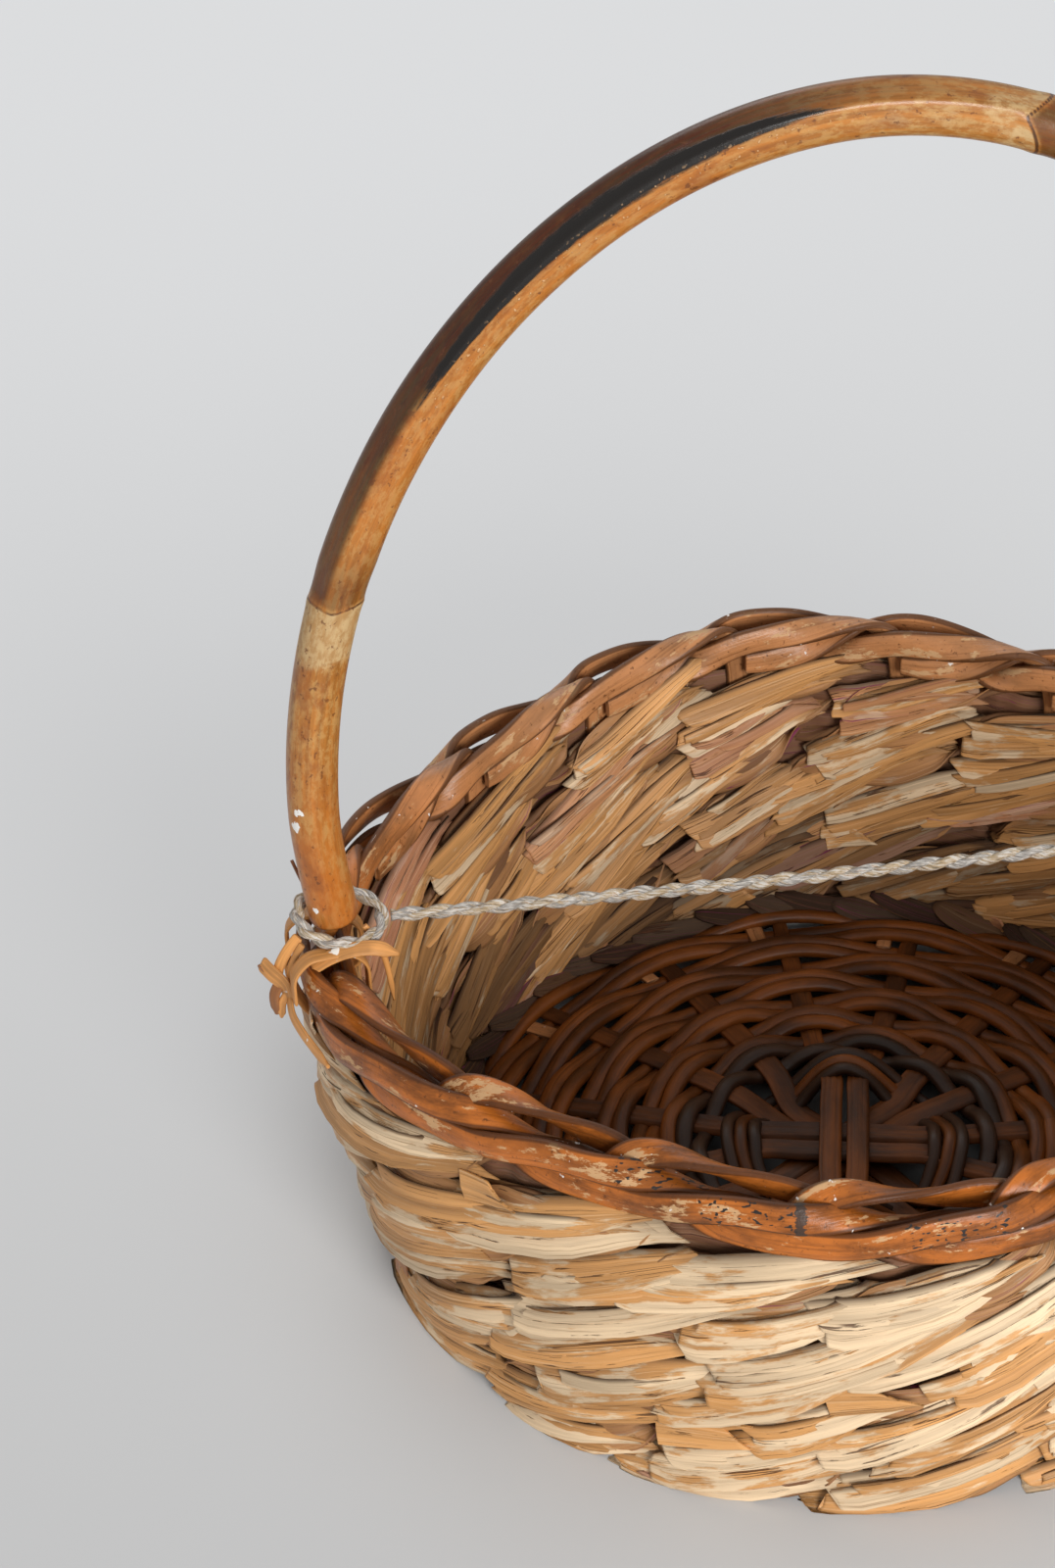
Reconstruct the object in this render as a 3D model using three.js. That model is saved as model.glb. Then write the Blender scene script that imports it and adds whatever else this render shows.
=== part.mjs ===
// Handled basket: a woven basket with a bent cane handle, in millimetres, +Z up.
// The handle stands in the X-Z plane, and the origin is on the floor under the middle of the
// base. The basket is the same after half a turn about Z, apart from the joints of the cane.
import * as THREE from 'three';

// Rim, foot and wall
const RIM_HALF_LENGTH = 170;       // middle of the border, along the handle
const RIM_HALF_WIDTH = 150;        // middle of the border, across the handle
const RIM_FLATTENING = 6.85;       // how far the oval is drawn in at its four shoulders
const RIM_HEIGHT = 118.5;          // middle of the border, at the middle of the long sides
const RIM_DIP = 3;                 // the border lies this much lower at the handle's feet
const FOOT_RADIUS = 142;           // middle of the wall at the floor, across the handle
const FOOT_OVAL = 0.03;            // the foot is longer by this share along the handle
const WALL_BULGE = 4;              // swelling of the wall at half height

// Stakes, which stand in the wall and end as the rods of the border
const STAKE_PAIRS = 8;             // a base stick's two ends each have a stake beside them
const ROD_WIDTH = 8;
const ROD_THICKNESS = 4.4;
const ROD_CLEARANCE = 1.1;         // between the rods beside the handle's tongue
const TAIL_WIDTH = 6;              // the stake's cut end, between the rows of the base
const TAIL_THICKNESS = 3;
const TAIL_LENGTH = 22;            // how far the cut end reaches in under the base rows
const TAIL_SETBACK = 2;            // the tail leaves the base this far inside its edge
const HEEL_REACH = 5;              // the bend at the foot starts this far outside that edge
const HEEL_RISE = 2.2;             // and climbs by this much before the upright
const HEEL_INSET = 1.5;            // the bend lies inside the middle of the wall

// Twined leaf strands of the wall
const WALL_ROWS = 7;
const STRAND_THICKNESS = 6;
const STRAND_SLACK = 1.9;          // a strand stands off the stake by this much
const ROW_GAP = 0.4;               // between rows, and between the two strands that cross

// Base
const BUNDLES = 4;                 // bundles of sticks that cross at the centre
const BUNDLE_LAYERS = [1, 3, 0, 2]; // place of each bundle in the stack, counted from below
const FIRST_BUNDLED = 1;           // spoke where the first bundle begins
const STICK_WIDTH = 9;
const STICK_THICKNESS = 3.2;
const STICK_TIP = 6;               // width of a stick's shaved ends
const BASE_ROWS = 8;
const WEAVER_THICKNESS = 2.6;
const WEAVER_SPACE = 1.25;         // between the rows of the base
const FIRST_ROW_RADIUS = 50;
const ROW_CLEARANCE = 2;           // from the first row in to where the sticks spread
const CROSSING_CLEARANCE = 5;      // from the crossing of the bundles to where they sink
const TAIL_SPACE = 1;              // between a stick and the stake's tail beside it
const FLOOR_CLEARANCE = 0.7;       // the base hangs this far off the floor at its edge
const BASE_CROWN = 5.8;            // rise of the base from the edge to the centre
const SEAT_GAP = 0.3;              // between pieces that touch on the real basket
const WALL_CLEARANCE = 1.1;        // between the base's edge and the wall's strands

// Handle: one bent cane, cut to a flat tongue at each foot
const CANE_DIAMETER = 17.8;
const CANE_SIDES = 12;
const HOOP_STEPS = 36;
const HOOP_RISE = 222;             // from where the hoop is widest to its top
const WIDEST_ABOVE_RIM = 55;
const HOOP_INSET = 0.4;            // the hoop's widest point lies inside the border's middle
const HOOP_SQUARENESS = 1.956;     // 2 is an ellipse
const FOOT_RETURN = 3.7;           // the cane leans back in by this much at its foot
const TONGUE_WIDTH = 10;
const TONGUE_THICKNESS = 4.2;
const TONGUE_DEPTH = 52;           // how far the tongue reaches into the wall
const TONGUE_TAPER = 12;           // length of its thinned tip
const TONGUE_NARROWING = 32;       // length over which its sides draw in to the tip
const SHOULDER_STEP = 0.4;         // height of the cut below the cane's shoulder
const TONGUE_SPACE = 2;            // between the tongue and the stake beside it
const JOINT_SWELLING = 0.6;
const CANE_JOINTS = [0.41, 0.88];  // places of the cane's joints, as shares of the hoop

// Lashings and tie cord
const STRIP_WIDTH = 6;
const STRIP_THICKNESS = 1.2;
const STRIP_CLEARANCE = 0.75;      // over and under the strip, in the slot below the border
const BORDER_CLEARANCE = 1.4;      // between the strip and the outermost rod
const LASHING_RISE = 13.6;         // the strip passes this far over the border's middle
const SECOND_TURN_DROP = 1.8;      // and lower by this much on the other side of the tongue
const FIRST_TURN_SPACE = 6.3;      // from the stake beside the tongue to the first turn
const SECOND_TURN_SPACE = 2.4;     // from the tongue to the second turn
const STRIP_STEPS = 32;
const LASHING_TURNS = 1.875;
const CORD_DIAMETER = 5;
const CORD_CLEARANCE = 1.1;        // between the lashing and the cord above it
const CORD_SAG = 2.2;
const CORD_STEPS = 24;
const LOOP_TILT = 2;               // the loop climbs by this much to the cane's outer side
const LOOP_DROP = 1.5;             // and hangs by this much on one side of the cane
const LOOP_EYE = 3.2;              // the loop is drawn out by this much towards the span

// Sizes that follow from those above
const STAKES = 2 * STAKE_PAIRS;
const PERIOD = 2 * Math.PI / STAKES;
const STAKE_ANGLE = ((TONGUE_WIDTH + ROD_WIDTH) / 2 + TONGUE_SPACE) / RIM_HALF_LENGTH;
const UPRIGHT = Math.max(ROD_THICKNESS, TONGUE_THICKNESS);
const STRAND_REACH = (UPRIGHT + STRAND_THICKNESS) / 2 + STRAND_SLACK;
const SLOT = (UPRIGHT + ROD_THICKNESS) / 2 + ROD_CLEARANCE;
const BORDER_DEPTH = 1.2 * ROD_WIDTH;
const BORDER_REACH = 1.42 * SLOT + ROD_THICKNESS / 2 + BORDER_CLEARANCE;
const LASHING_SLOT = STRIP_THICKNESS + 2 * STRIP_CLEARANCE;
const LASHING_REACH = BORDER_REACH + STRIP_THICKNESS / 2;
const WALL_INSIDE = FOOT_RADIUS - STRAND_REACH - STRAND_THICKNESS / 2;
const BASE_RADIUS = WALL_INSIDE - WALL_CLEARANCE;
const ROW_PITCH = (BASE_RADIUS + WEAVER_SPACE / 2 - FIRST_ROW_RADIUS) / (BASE_ROWS - 0.5);
const WEAVER_WIDTH = ROW_PITCH - WEAVER_SPACE;
const LAST_ROW_RADIUS = FIRST_ROW_RADIUS + (BASE_ROWS - 1) * ROW_PITCH;
const WEAVER_LIFT = (STICK_THICKNESS + WEAVER_THICKNESS) / 2 + SEAT_GAP;
const BASE_EDGE_HEIGHT = WEAVER_LIFT + WEAVER_THICKNESS / 2 + FLOOR_CLEARANCE;
const HOOP_HALF_SPAN = RIM_HALF_LENGTH - HOOP_INSET;
const HOOP_WIDEST = RIM_HEIGHT + WIDEST_ABOVE_RIM;
const NECK = HOOP_HALF_SPAN - FOOT_RETURN;

const UP = new THREE.Vector3(0, 0, 1);

// Colours and finishes
const finish = (color, roughness) => new THREE.MeshStandardMaterial({ color, roughness, metalness: 0 });
const CANE = finish(0xb06a2c, 0.35);
const ROD = finish(0x9c5a2a, 0.5);
const LEAF = finish(0xcfa873, 0.7);
const STICK = finish(0x8a5530, 0.6);
const WEAVER = finish(0x9a5626, 0.55);
const SPLINT = finish(0xc98442, 0.5);
const CORD = finish(0x9b8f80, 0.9);

// Level direction at an angle round the basket
const outward = (angle) => new THREE.Vector3(Math.cos(angle), Math.sin(angle), 0);

// Radius of the middle of the border: an oval with four slightly drawn-in shoulders
function rimRadius(angle) {
  const mean = (RIM_HALF_LENGTH + RIM_HALF_WIDTH) / 2 - RIM_FLATTENING;
  const oval = (RIM_HALF_LENGTH - RIM_HALF_WIDTH) / 2;
  return mean + oval * Math.cos(2 * angle) + RIM_FLATTENING * Math.cos(4 * angle);
}

// How much longer the foot and the base are at this angle
const footStretch = (angle) => 1 + FOOT_OVAL * (1 + Math.cos(2 * angle)) / 2;

const rimHeight = (angle) => RIM_HEIGHT - RIM_DIP * (1 + Math.cos(2 * angle)) / 2;

// Top of the twined wall, which leaves a slot under the border for the lashing
const wallTop = (angle) => rimHeight(angle) - BORDER_DEPTH - LASHING_SLOT;

// Middle of the wall at an angle and a height
function wallMiddle(angle, height) {
  const share = height / rimHeight(angle);
  const foot = FOOT_RADIUS * footStretch(angle);
  const bulge = 4 * WALL_BULGE * share * (1 - share);
  const radius = foot + (rimRadius(angle) - foot) * share + bulge;
  return outward(angle).multiplyScalar(radius).setZ(height);
}

// Level direction square to the wall, looking out
function wallNormal(angle, height) {
  const step = 0.01;
  const along = wallMiddle(angle + step, height).sub(wallMiddle(angle - step, height));
  return along.cross(UP).normalize();
}

// A point set off outward from the middle of the wall
const wallPoint = (angle, height, out) => (
  wallMiddle(angle, height).addScaledVector(wallNormal(angle, height), out));

// Height of the middle plane of the base, which is crowned like a saucer turned over
const baseHeight = (radius) => BASE_EDGE_HEIGHT + BASE_CROWN * (1 - (radius / LAST_ROW_RADIUS) ** 2);

// A point of the base
const basePoint = (angle, radius, height) => (
  outward(angle).multiplyScalar(radius * footStretch(angle)).setZ(height));

// Skin over rings of points, with end caps unless the rings close on themselves
function loft(rings, closed) {
  const sides = rings[0].length;
  const positions = rings.flat().flatMap((point) => point.toArray());
  const triangles = [];
  const spans = closed ? rings.length : rings.length - 1;
  for (let i = 0; i < spans; i += 1) {
    const here = i * sides;
    const next = ((i + 1) % rings.length) * sides;
    for (let j = 0; j < sides; j += 1) {
      const k = (j + 1) % sides;
      triangles.push([here + j, here + k, next + k], [here + j, next + k, next + j]);
    }
  }
  if (!closed) {
    const end = (rings.length - 1) * sides;
    for (let j = 1; j < sides - 1; j += 1) {
      triangles.push([0, j + 1, j], [end, end + j, end + j + 1]);
    }
  }
  const corner = (index) => new THREE.Vector3().fromArray(positions, index * 3);
  let volume = 0;
  for (const [a, b, c] of triangles) volume += corner(a).dot(corner(b).cross(corner(c)));
  const faces = volume > 0 ? triangles : triangles.map(([a, b, c]) => [a, c, b]);
  const geometry = new THREE.BufferGeometry();
  geometry.setAttribute('position', new THREE.Float32BufferAttribute(positions, 3));
  geometry.setIndex(faces.flat());
  geometry.computeVertexNormals();
  return geometry;
}

// Direction of travel at each of a row of points
function tangents(points) {
  return points.map((point, i) => {
    const before = points[Math.max(i - 1, 0)];
    const after = points[Math.min(i + 1, points.length - 1)];
    return after.clone().sub(before).normalize();
  });
}

// Sections as shares of the width and the thickness: a split rod has a flat back and an
// arched bark side, a strip is flat on both sides
const SPLIT_ROD = [[-0.5, -0.5], [0.5, -0.5], [0.5, 0.1], [0, 0.5], [-0.5, 0.1]];
const FLAT_STRIP = [[-0.5, -0.5], [0.5, -0.5], [0.5, 0.5], [-0.5, 0.5]];

// Rod through stations, each with a point, the way its front faces, a width and a thickness
function rod(stations, section) {
  const along = tangents(stations.map((station) => station.point));
  const rings = stations.map(({ point, face, width, thickness }, i) => {
    const front = face.clone().addScaledVector(along[i], -face.dot(along[i])).normalize();
    const side = along[i].clone().cross(front);
    return section.map(([across, deep]) => point.clone()
      .addScaledVector(side, across * width)
      .addScaledVector(front, deep * thickness));
  });
  return loft(rings, false);
}

// Path of a stake's end in the border: how many stakes it has passed, how far it lies out
// from the middle of the border in slots, how far up in rod widths, and the way its bark
// looks, in degrees from outward to up. It goes inside one stake, outside the next two and
// inside a last one, under the rods that were bent down after it.
const BORDER_PATH = [
  [0.00, 0.00, -1.12, 0],
  [0.01, 0.00, -0.38, 0],
  [0.05, 0.00, 0.38, 0],
  [0.13, -0.05, 1.00, 12],
  [0.25, -0.51, 1.25, 74],
  [0.50, -0.87, 1.00, 115],
  [0.75, -0.98, 0.60, 165],
  [1.10, -1.05, 0.48, 180],
  [1.29, -0.84, -0.33, 145],
  [1.46, -0.11, -0.86, 90],
  [1.72, 1.07, -0.68, 10],
  [2.10, 1.05, -0.68, 0],
  [2.42, 1.42, -0.25, 0],
  [2.72, 1.33, 0.52, 12],
  [3.13, 1.22, 0.54, 20],
  [3.29, 0.40, 0.58, 78],
  [3.44, -0.18, 0.15, 98],
  [3.58, -0.65, -0.38, 140],
  [3.75, -0.98, -0.65, 180],
  [4.05, -0.98, -0.68, 180],
];

const stakeAngle = (k) => STAKE_ANGLE + k * PERIOD;

// Stake: a shaved tail between the base rows, a bend at the foot, the upright and the border
function stake(k) {
  const angle = stakeAngle(k);
  const stations = [];
  const put = (point, at, degrees, width, thickness) => {
    const turn = THREE.MathUtils.degToRad(degrees);
    const face = wallNormal(at, point.z).multiplyScalar(Math.cos(turn));
    stations.push({ point, face: face.addScaledVector(UP, Math.sin(turn)), width, thickness });
  };
  const tail = (radius, height, degrees) => (
    put(basePoint(angle, radius, height), angle, degrees, TAIL_WIDTH, TAIL_THICKNESS));
  const low = TAIL_THICKNESS / 2 + ROW_GAP;
  tail(BASE_RADIUS - TAIL_LENGTH, baseHeight(BASE_RADIUS - TAIL_LENGTH), -90);
  tail(BASE_RADIUS - TAIL_SETBACK, baseHeight(BASE_RADIUS - TAIL_SETBACK), -90);
  tail(BASE_RADIUS + HEEL_REACH, low + TAIL_THICKNESS / 5, -85);
  put(wallPoint(angle, low + HEEL_RISE, -HEEL_INSET), angle, -45, ROD_WIDTH, TAIL_THICKNESS);
  for (const share of [0.11, 0.4, 0.7]) {
    put(wallPoint(angle, share * RIM_HEIGHT, 0), angle, 0, ROD_WIDTH, ROD_THICKNESS);
  }
  for (const [passed, out, rise, degrees] of BORDER_PATH) {
    const here = angle + passed * PERIOD;
    const point = wallPoint(here, rimHeight(here), out * SLOT);
    put(point.addScaledVector(UP, rise * ROD_WIDTH), here, degrees, ROD_WIDTH, ROD_THICKNESS);
  }
  return rod(stations, SPLIT_ROD);
}

// Twined row: two strands pass in front of and behind the stakes in turn, and cross between
// them. A strand climbs while it is outside and comes down inside, so its strokes slant.
const STROKE_HALF = 0.27 * PERIOD;  // a stroke begins and ends this far from its stake
const STROKE_LEAN = 0.55;           // share of the reach that it still has there
const TAIL_ROOM = 0.56;             // the lowest strokes inside leave the tails this much
function strand(row, ply) {
  const half = STRAND_THICKNESS / 2;
  const rings = [];
  const ring = (angle, out, lowShare, highShare) => {
    const onFloor = row === 0 && lowShare === 0;
    const low = wallTop(angle) * (row + lowShare) / WALL_ROWS + (onFloor ? 0 : ROW_GAP / 2);
    const high = wallTop(angle) * (row + highShare) / WALL_ROWS - ROW_GAP / 2;
    rings.push([
      wallPoint(angle, low, out + half), wallPoint(angle, high, out + half),
      wallPoint(angle, high, out - half), wallPoint(angle, low, out - half),
    ]);
  };
  for (let k = 0; k < STAKES; k += 1) {
    const outside = (k + ply) % 2 === 0;
    const reach = outside ? STRAND_REACH : -STRAND_REACH;
    const lower = [0, 0.5];
    const upper = [0.5, 1];
    const angle = stakeAngle(k);
    const tongue = k % STAKE_PAIRS === 0 ? STAKE_ANGLE : 0;
    const start = angle - tongue - STROKE_HALF * (tongue > 0 ? 0.75 : 1);
    ring(start, reach * STROKE_LEAN, ...(outside ? lower : upper));
    if (tongue > 0) ring(angle - tongue, reach, 0, 1);
    ring(angle, reach, row === 0 && !outside ? TAIL_ROOM : 0, 1);
    ring(angle + STROKE_HALF, reach * STROKE_LEAN, ...(outside ? upper : lower));
  }
  return loft(rings, true);
}

// Base stick: it crosses the centre in its bundle and layer, and spreads to the two spokes
// at its ends. The spokes stand beside the stakes' tails.
const TAIL_TIP_RADIUS = BASE_RADIUS - TAIL_LENGTH;
const SPOKE_TURN = Math.asin(((STICK_WIDTH + TAIL_WIDTH) / 2 + TAIL_SPACE) / TAIL_TIP_RADIUS);
const spokeAngle = (k) => stakeAngle(k) - SPOKE_TURN;
function baseStick(near, far, bundleAngle, offset, layer) {
  const half = STAKE_PAIRS / BUNDLES * (STICK_WIDTH + SEAT_GAP) / 2;
  const crossing = half / Math.sin(Math.PI / BUNDLES / 2) + CROSSING_CLEARANCE;
  const fan = FIRST_ROW_RADIUS - WEAVER_WIDTH / 2 - ROW_CLEARANCE;
  const rise = (layer - (BUNDLES - 1) / 2) * (STICK_THICKNESS + SEAT_GAP);
  const spread = (radius, k, width) => ({
    point: basePoint(spokeAngle(k), radius, baseHeight(radius)), width,
  });
  const parallel = (distance) => ({
    point: outward(bundleAngle).multiplyScalar(distance)
      .addScaledVector(outward(bundleAngle + Math.PI / 2), offset)
      .setZ(baseHeight(Math.abs(distance)) + rise),
    width: STICK_WIDTH,
  });
  const ends = (k) => [
    spread(BASE_RADIUS - SEAT_GAP, k, STICK_TIP),
    spread((fan + BASE_RADIUS) / 2, k, STICK_WIDTH),
    spread(fan, k, STICK_WIDTH),
  ];
  const middle = [-crossing, -crossing / 2, crossing / 2, crossing].map(parallel);
  const path = [...ends(far), ...middle, ...ends(near).reverse()];
  const stations = path.map((place) => ({ ...place, face: UP, thickness: STICK_THICKNESS }));
  return rod(stations, FLAT_STRIP);
}

// Weaver of the base: over one spoke and under the next, the other way round in the next row
function baseWeaver(row) {
  const radius = FIRST_ROW_RADIUS + row * ROW_PITCH;
  const overTails = radius + WEAVER_WIDTH / 2 > TAIL_TIP_RADIUS;
  const margin = 2 * SEAT_GAP;
  const before = (STICK_WIDTH / 2 + margin) / radius;
  const after = overTails ? SPOKE_TURN + (TAIL_WIDTH / 2 + margin) / radius : before;
  const corners = [[-0.5, -0.5], [-0.5, 0.5], [0.5, 0.5], [0.5, -0.5]];
  const rings = [];
  for (let k = 0; k < STAKES; k += 1) {
    const lift = (k + row) % 2 === 0 ? WEAVER_LIFT : -WEAVER_LIFT;
    for (const angle of [spokeAngle(k) - before, spokeAngle(k) + after]) {
      rings.push(corners.map(([across, deep]) => {
        const far = radius + across * WEAVER_WIDTH;
        return basePoint(angle, far, baseHeight(far) + lift + deep * WEAVER_THICKNESS);
      }));
    }
  }
  return loft(rings, true);
}

// Middle of the cane at a share of the hoop, 0 and 1 where the hoop is widest
function hoopPoint(share) {
  const turn = Math.PI * share;
  const power = 2 / HOOP_SQUARENESS;
  const across = Math.sign(Math.cos(turn)) * Math.abs(Math.cos(turn)) ** power;
  const height = HOOP_WIDEST + HOOP_RISE * Math.sin(turn) ** power;
  return new THREE.Vector3(HOOP_HALF_SPAN * across, 0, height);
}

const CORD_HEIGHT = rimHeight(0) + LASHING_RISE - SECOND_TURN_DROP + STRIP_THICKNESS / 2
  + CORD_CLEARANCE + CORD_DIAMETER / 2;
const SHOULDER_HEIGHT = CORD_HEIGHT + CORD_DIAMETER / 2;

// Middle of the cane's lower end, which leans back in under the hoop
function footPoint(height) {
  const down = (HOOP_WIDEST - height) / (HOOP_WIDEST - SHOULDER_HEIGHT);
  return new THREE.Vector3(HOOP_HALF_SPAN - FOOT_RETURN * down ** 1.5, 0, height);
}

// Middle of the tongue, which runs down between the rods of the border into the wall
function tonguePoint(height) {
  const free = rimHeight(0) + BORDER_DEPTH;
  const share = THREE.MathUtils.clamp((height - free) / (SHOULDER_HEIGHT - free), 0, 1);
  const inWall = wallMiddle(0, height).x;
  return new THREE.Vector3(inWall + (NECK - inWall) * share, 0, height);
}

// Handle: tongue, shoulder and hoop, with the shoulder and tongue of the other foot
function handle() {
  const radius = CANE_DIAMETER / 2;
  const cane = (point, size) => ({ point, width: size, thickness: size, squareness: 1 });
  const bar = (height, width, thickness) => (
    { point: tonguePoint(height), width, thickness, squareness: 1.6 });
  const tip = rimHeight(0) - TONGUE_DEPTH;
  const foot = [
    bar(tip, TONGUE_WIDTH * 0.55, TONGUE_THICKNESS * 0.4),
    bar(tip + TONGUE_TAPER, TONGUE_WIDTH * 0.85, TONGUE_THICKNESS),
    bar(tip + TONGUE_NARROWING, TONGUE_WIDTH, TONGUE_THICKNESS),
    bar(rimHeight(0) + BORDER_DEPTH, TONGUE_WIDTH, TONGUE_THICKNESS),
    bar(SHOULDER_HEIGHT - SHOULDER_STEP, TONGUE_WIDTH, TONGUE_THICKNESS),
    cane(footPoint(SHOULDER_HEIGHT), 0.9 * CANE_DIAMETER),
    cane(footPoint(SHOULDER_HEIGHT + radius / 6), CANE_DIAMETER),
    cane(footPoint((SHOULDER_HEIGHT + HOOP_WIDEST) / 2), CANE_DIAMETER),
  ];
  const joints = CANE_JOINTS.map((share) => Math.round(share * HOOP_STEPS));
  const hoop = [];
  for (let i = 0; i <= HOOP_STEPS; i += 1) {
    const swelling = joints.includes(i) ? 2 * JOINT_SWELLING : 0;
    hoop.push(cane(hoopPoint(i / HOOP_STEPS), CANE_DIAMETER + swelling));
  }
  const otherFoot = foot.map((station) => {
    const { x, y, z } = station.point;
    return { ...station, point: new THREE.Vector3(-x, y, z) };
  });
  const stations = [...foot, ...hoop, ...otherFoot.reverse()];
  const along = tangents(stations.map((station) => station.point));
  const side = new THREE.Vector3(0, 1, 0);
  const rings = stations.map(({ point, width, thickness, squareness }, i) => {
    const front = side.clone().cross(along[i]).normalize();
    const ring = [];
    for (let j = 0; j < CANE_SIDES; j += 1) {
      const turn = 2 * Math.PI * (j + 0.5) / CANE_SIDES;
      const deep = THREE.MathUtils.clamp(squareness * Math.cos(turn), -1, 1);
      ring.push(point.clone()
        .addScaledVector(front, thickness / 2 * deep)
        .addScaledVector(side, width / 2 * Math.sin(turn)));
    }
    return ring;
  });
  return loft(rings, false);
}

// Lashing of one foot: nearly two turns of a strip round the border, the first ahead of the
// stake beside the tongue and the second behind the tongue
function lashing() {
  const firstTurn = (ROD_WIDTH + STRIP_WIDTH) / 2 + FIRST_TURN_SPACE;
  const secondTurn = (TONGUE_WIDTH + STRIP_WIDTH) / 2 + SECOND_TURN_SPACE;
  const ahead = STAKE_ANGLE + firstTurn / RIM_HALF_LENGTH;
  const behind = -secondTurn / RIM_HALF_LENGTH;
  const start = -0.25;
  const turns = LASHING_TURNS * 2 * Math.PI;
  const square = (value) => THREE.MathUtils.clamp(1.12 * value, -1, 1);
  const stations = [];
  for (let i = 0; i <= STRIP_STEPS; i += 1) {
    const share = i / STRIP_STEPS;
    const turn = start + share * turns;
    const across = THREE.MathUtils.smoothstep(share, 0.44, 0.56);
    const angle = ahead + (behind - ahead) * across;
    const level = rimHeight(angle);
    const under = BORDER_DEPTH + LASHING_SLOT / 2;
    const high = Math.sin(turn) > 0 ? LASHING_RISE - SECOND_TURN_DROP * across : under;
    const point = wallPoint(angle, level, LASHING_REACH * square(Math.cos(turn)));
    const face = wallNormal(angle, level).multiplyScalar(Math.cos(turn));
    stations.push({
      point: point.addScaledVector(UP, high * square(Math.sin(turn))),
      face: face.addScaledVector(UP, Math.sin(turn)),
      width: STRIP_WIDTH,
      thickness: STRIP_THICKNESS,
    });
  }
  return rod(stations, FLAT_STRIP);
}

// Least distance between the edges of a lashing's two turns, measured on the corners of
// its rings that lie more than half a turn apart along the strip
function gapBetweenTurns(geometry) {
  const corners = geometry.getAttribute('position');
  const corner = (index) => new THREE.Vector3().fromBufferAttribute(corners, index);
  const sides = FLAT_STRIP.length;
  const halfTurn = Math.ceil(STRIP_STEPS / LASHING_TURNS / 2) * sides;
  let gap = Infinity;
  for (let i = 0; i < corners.count; i += 1) {
    for (let j = i + halfTurn; j < corners.count; j += 1) {
      gap = Math.min(gap, corner(i).distanceTo(corner(j)));
    }
  }
  return gap;
}

// Knot of the lashing, drawn flat against the outside of the border: a pillow with a waist
function lashingKnot() {
  const angle = 0.65 * STAKE_ANGLE;
  const back = LASHING_REACH + STRIP_THICKNESS / 2 + SEAT_GAP;
  const out = wallNormal(angle, rimHeight(angle));
  const along = UP.clone().cross(out);
  const places = [-1.5, -1, 0, 1, 1.5];
  const talls = [0.43, 1, 0.83, 1, 0.43];
  const deeps = [0.8, 1.7, 2.2, 1.7, 0.8];
  const corners = [[-0.6, 0], [0.6, 0], [1, 0.8], [0.5, 2], [-0.5, 2], [-1, 0.8]];
  const rings = places.map((place, i) => corners.map(([rise, deep]) => (
    wallPoint(angle, rimHeight(angle), back + deep * deeps[i] * STRIP_THICKNESS)
      .addScaledVector(along, place * STRIP_WIDTH)
      .addScaledVector(UP, rise * talls[i] * STRIP_WIDTH))));
  return loft(rings, false);
}

// Loop of the tie cord round the cane's end, drawn out to an eye towards the span
const LOOP_RADIUS = (CANE_DIAMETER + CORD_DIAMETER) / 2 + SEAT_GAP;
const LOOP_STEPS = 24;
const LOOP_SIDES = 6;
function cordLoop() {
  const rings = [];
  for (let i = 0; i < LOOP_STEPS; i += 1) {
    const turn = 2 * Math.PI * i / LOOP_STEPS;
    const pull = ((1 - Math.cos(turn)) / 2) ** 3;
    const height = CORD_HEIGHT + LOOP_TILT * (1 + Math.cos(turn)) - LOOP_DROP * Math.sin(turn);
    const centre = new THREE.Vector3(NECK, 0, height)
      .addScaledVector(outward(turn), LOOP_RADIUS + LOOP_EYE * pull);
    const ring = [];
    for (let j = 0; j < LOOP_SIDES; j += 1) {
      const about = 2 * Math.PI * j / LOOP_SIDES;
      ring.push(centre.clone()
        .addScaledVector(outward(turn), CORD_DIAMETER / 2 * Math.cos(about))
        .addScaledVector(UP, CORD_DIAMETER / 2 * Math.sin(about)));
    }
    rings.push(ring);
  }
  return loft(rings, true);
}

// Span of the tie cord between the two loops, with its slight sag
const CORD_SIDES = 8;
function cordSpan() {
  const end = NECK - LOOP_RADIUS - LOOP_EYE - CORD_DIAMETER / 2 - SEAT_GAP;
  const points = [];
  for (let i = 0; i <= CORD_STEPS; i += 1) {
    const share = 2 * i / CORD_STEPS - 1;
    const height = CORD_HEIGHT - CORD_SAG * (1 - share ** 2);
    points.push(new THREE.Vector3(end * share, 0, height));
  }
  const corners = [];
  for (let j = 0; j < CORD_SIDES; j += 1) {
    const turn = 2 * Math.PI * j / CORD_SIDES;
    corners.push(new THREE.Vector2(Math.cos(turn), Math.sin(turn)).multiplyScalar(CORD_DIAMETER / 2));
  }
  return new THREE.ExtrudeGeometry(new THREE.Shape(corners), {
    steps: CORD_STEPS, bevelEnabled: false, extrudePath: new THREE.CatmullRomCurve3(points),
  });
}

// Assembly
const basket = new THREE.Group();
basket.name = 'handled_basket';
function add(parent, name, geometry, material) {
  const mesh = new THREE.Mesh(geometry, material);
  mesh.name = name;
  parent.add(mesh);
}

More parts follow.
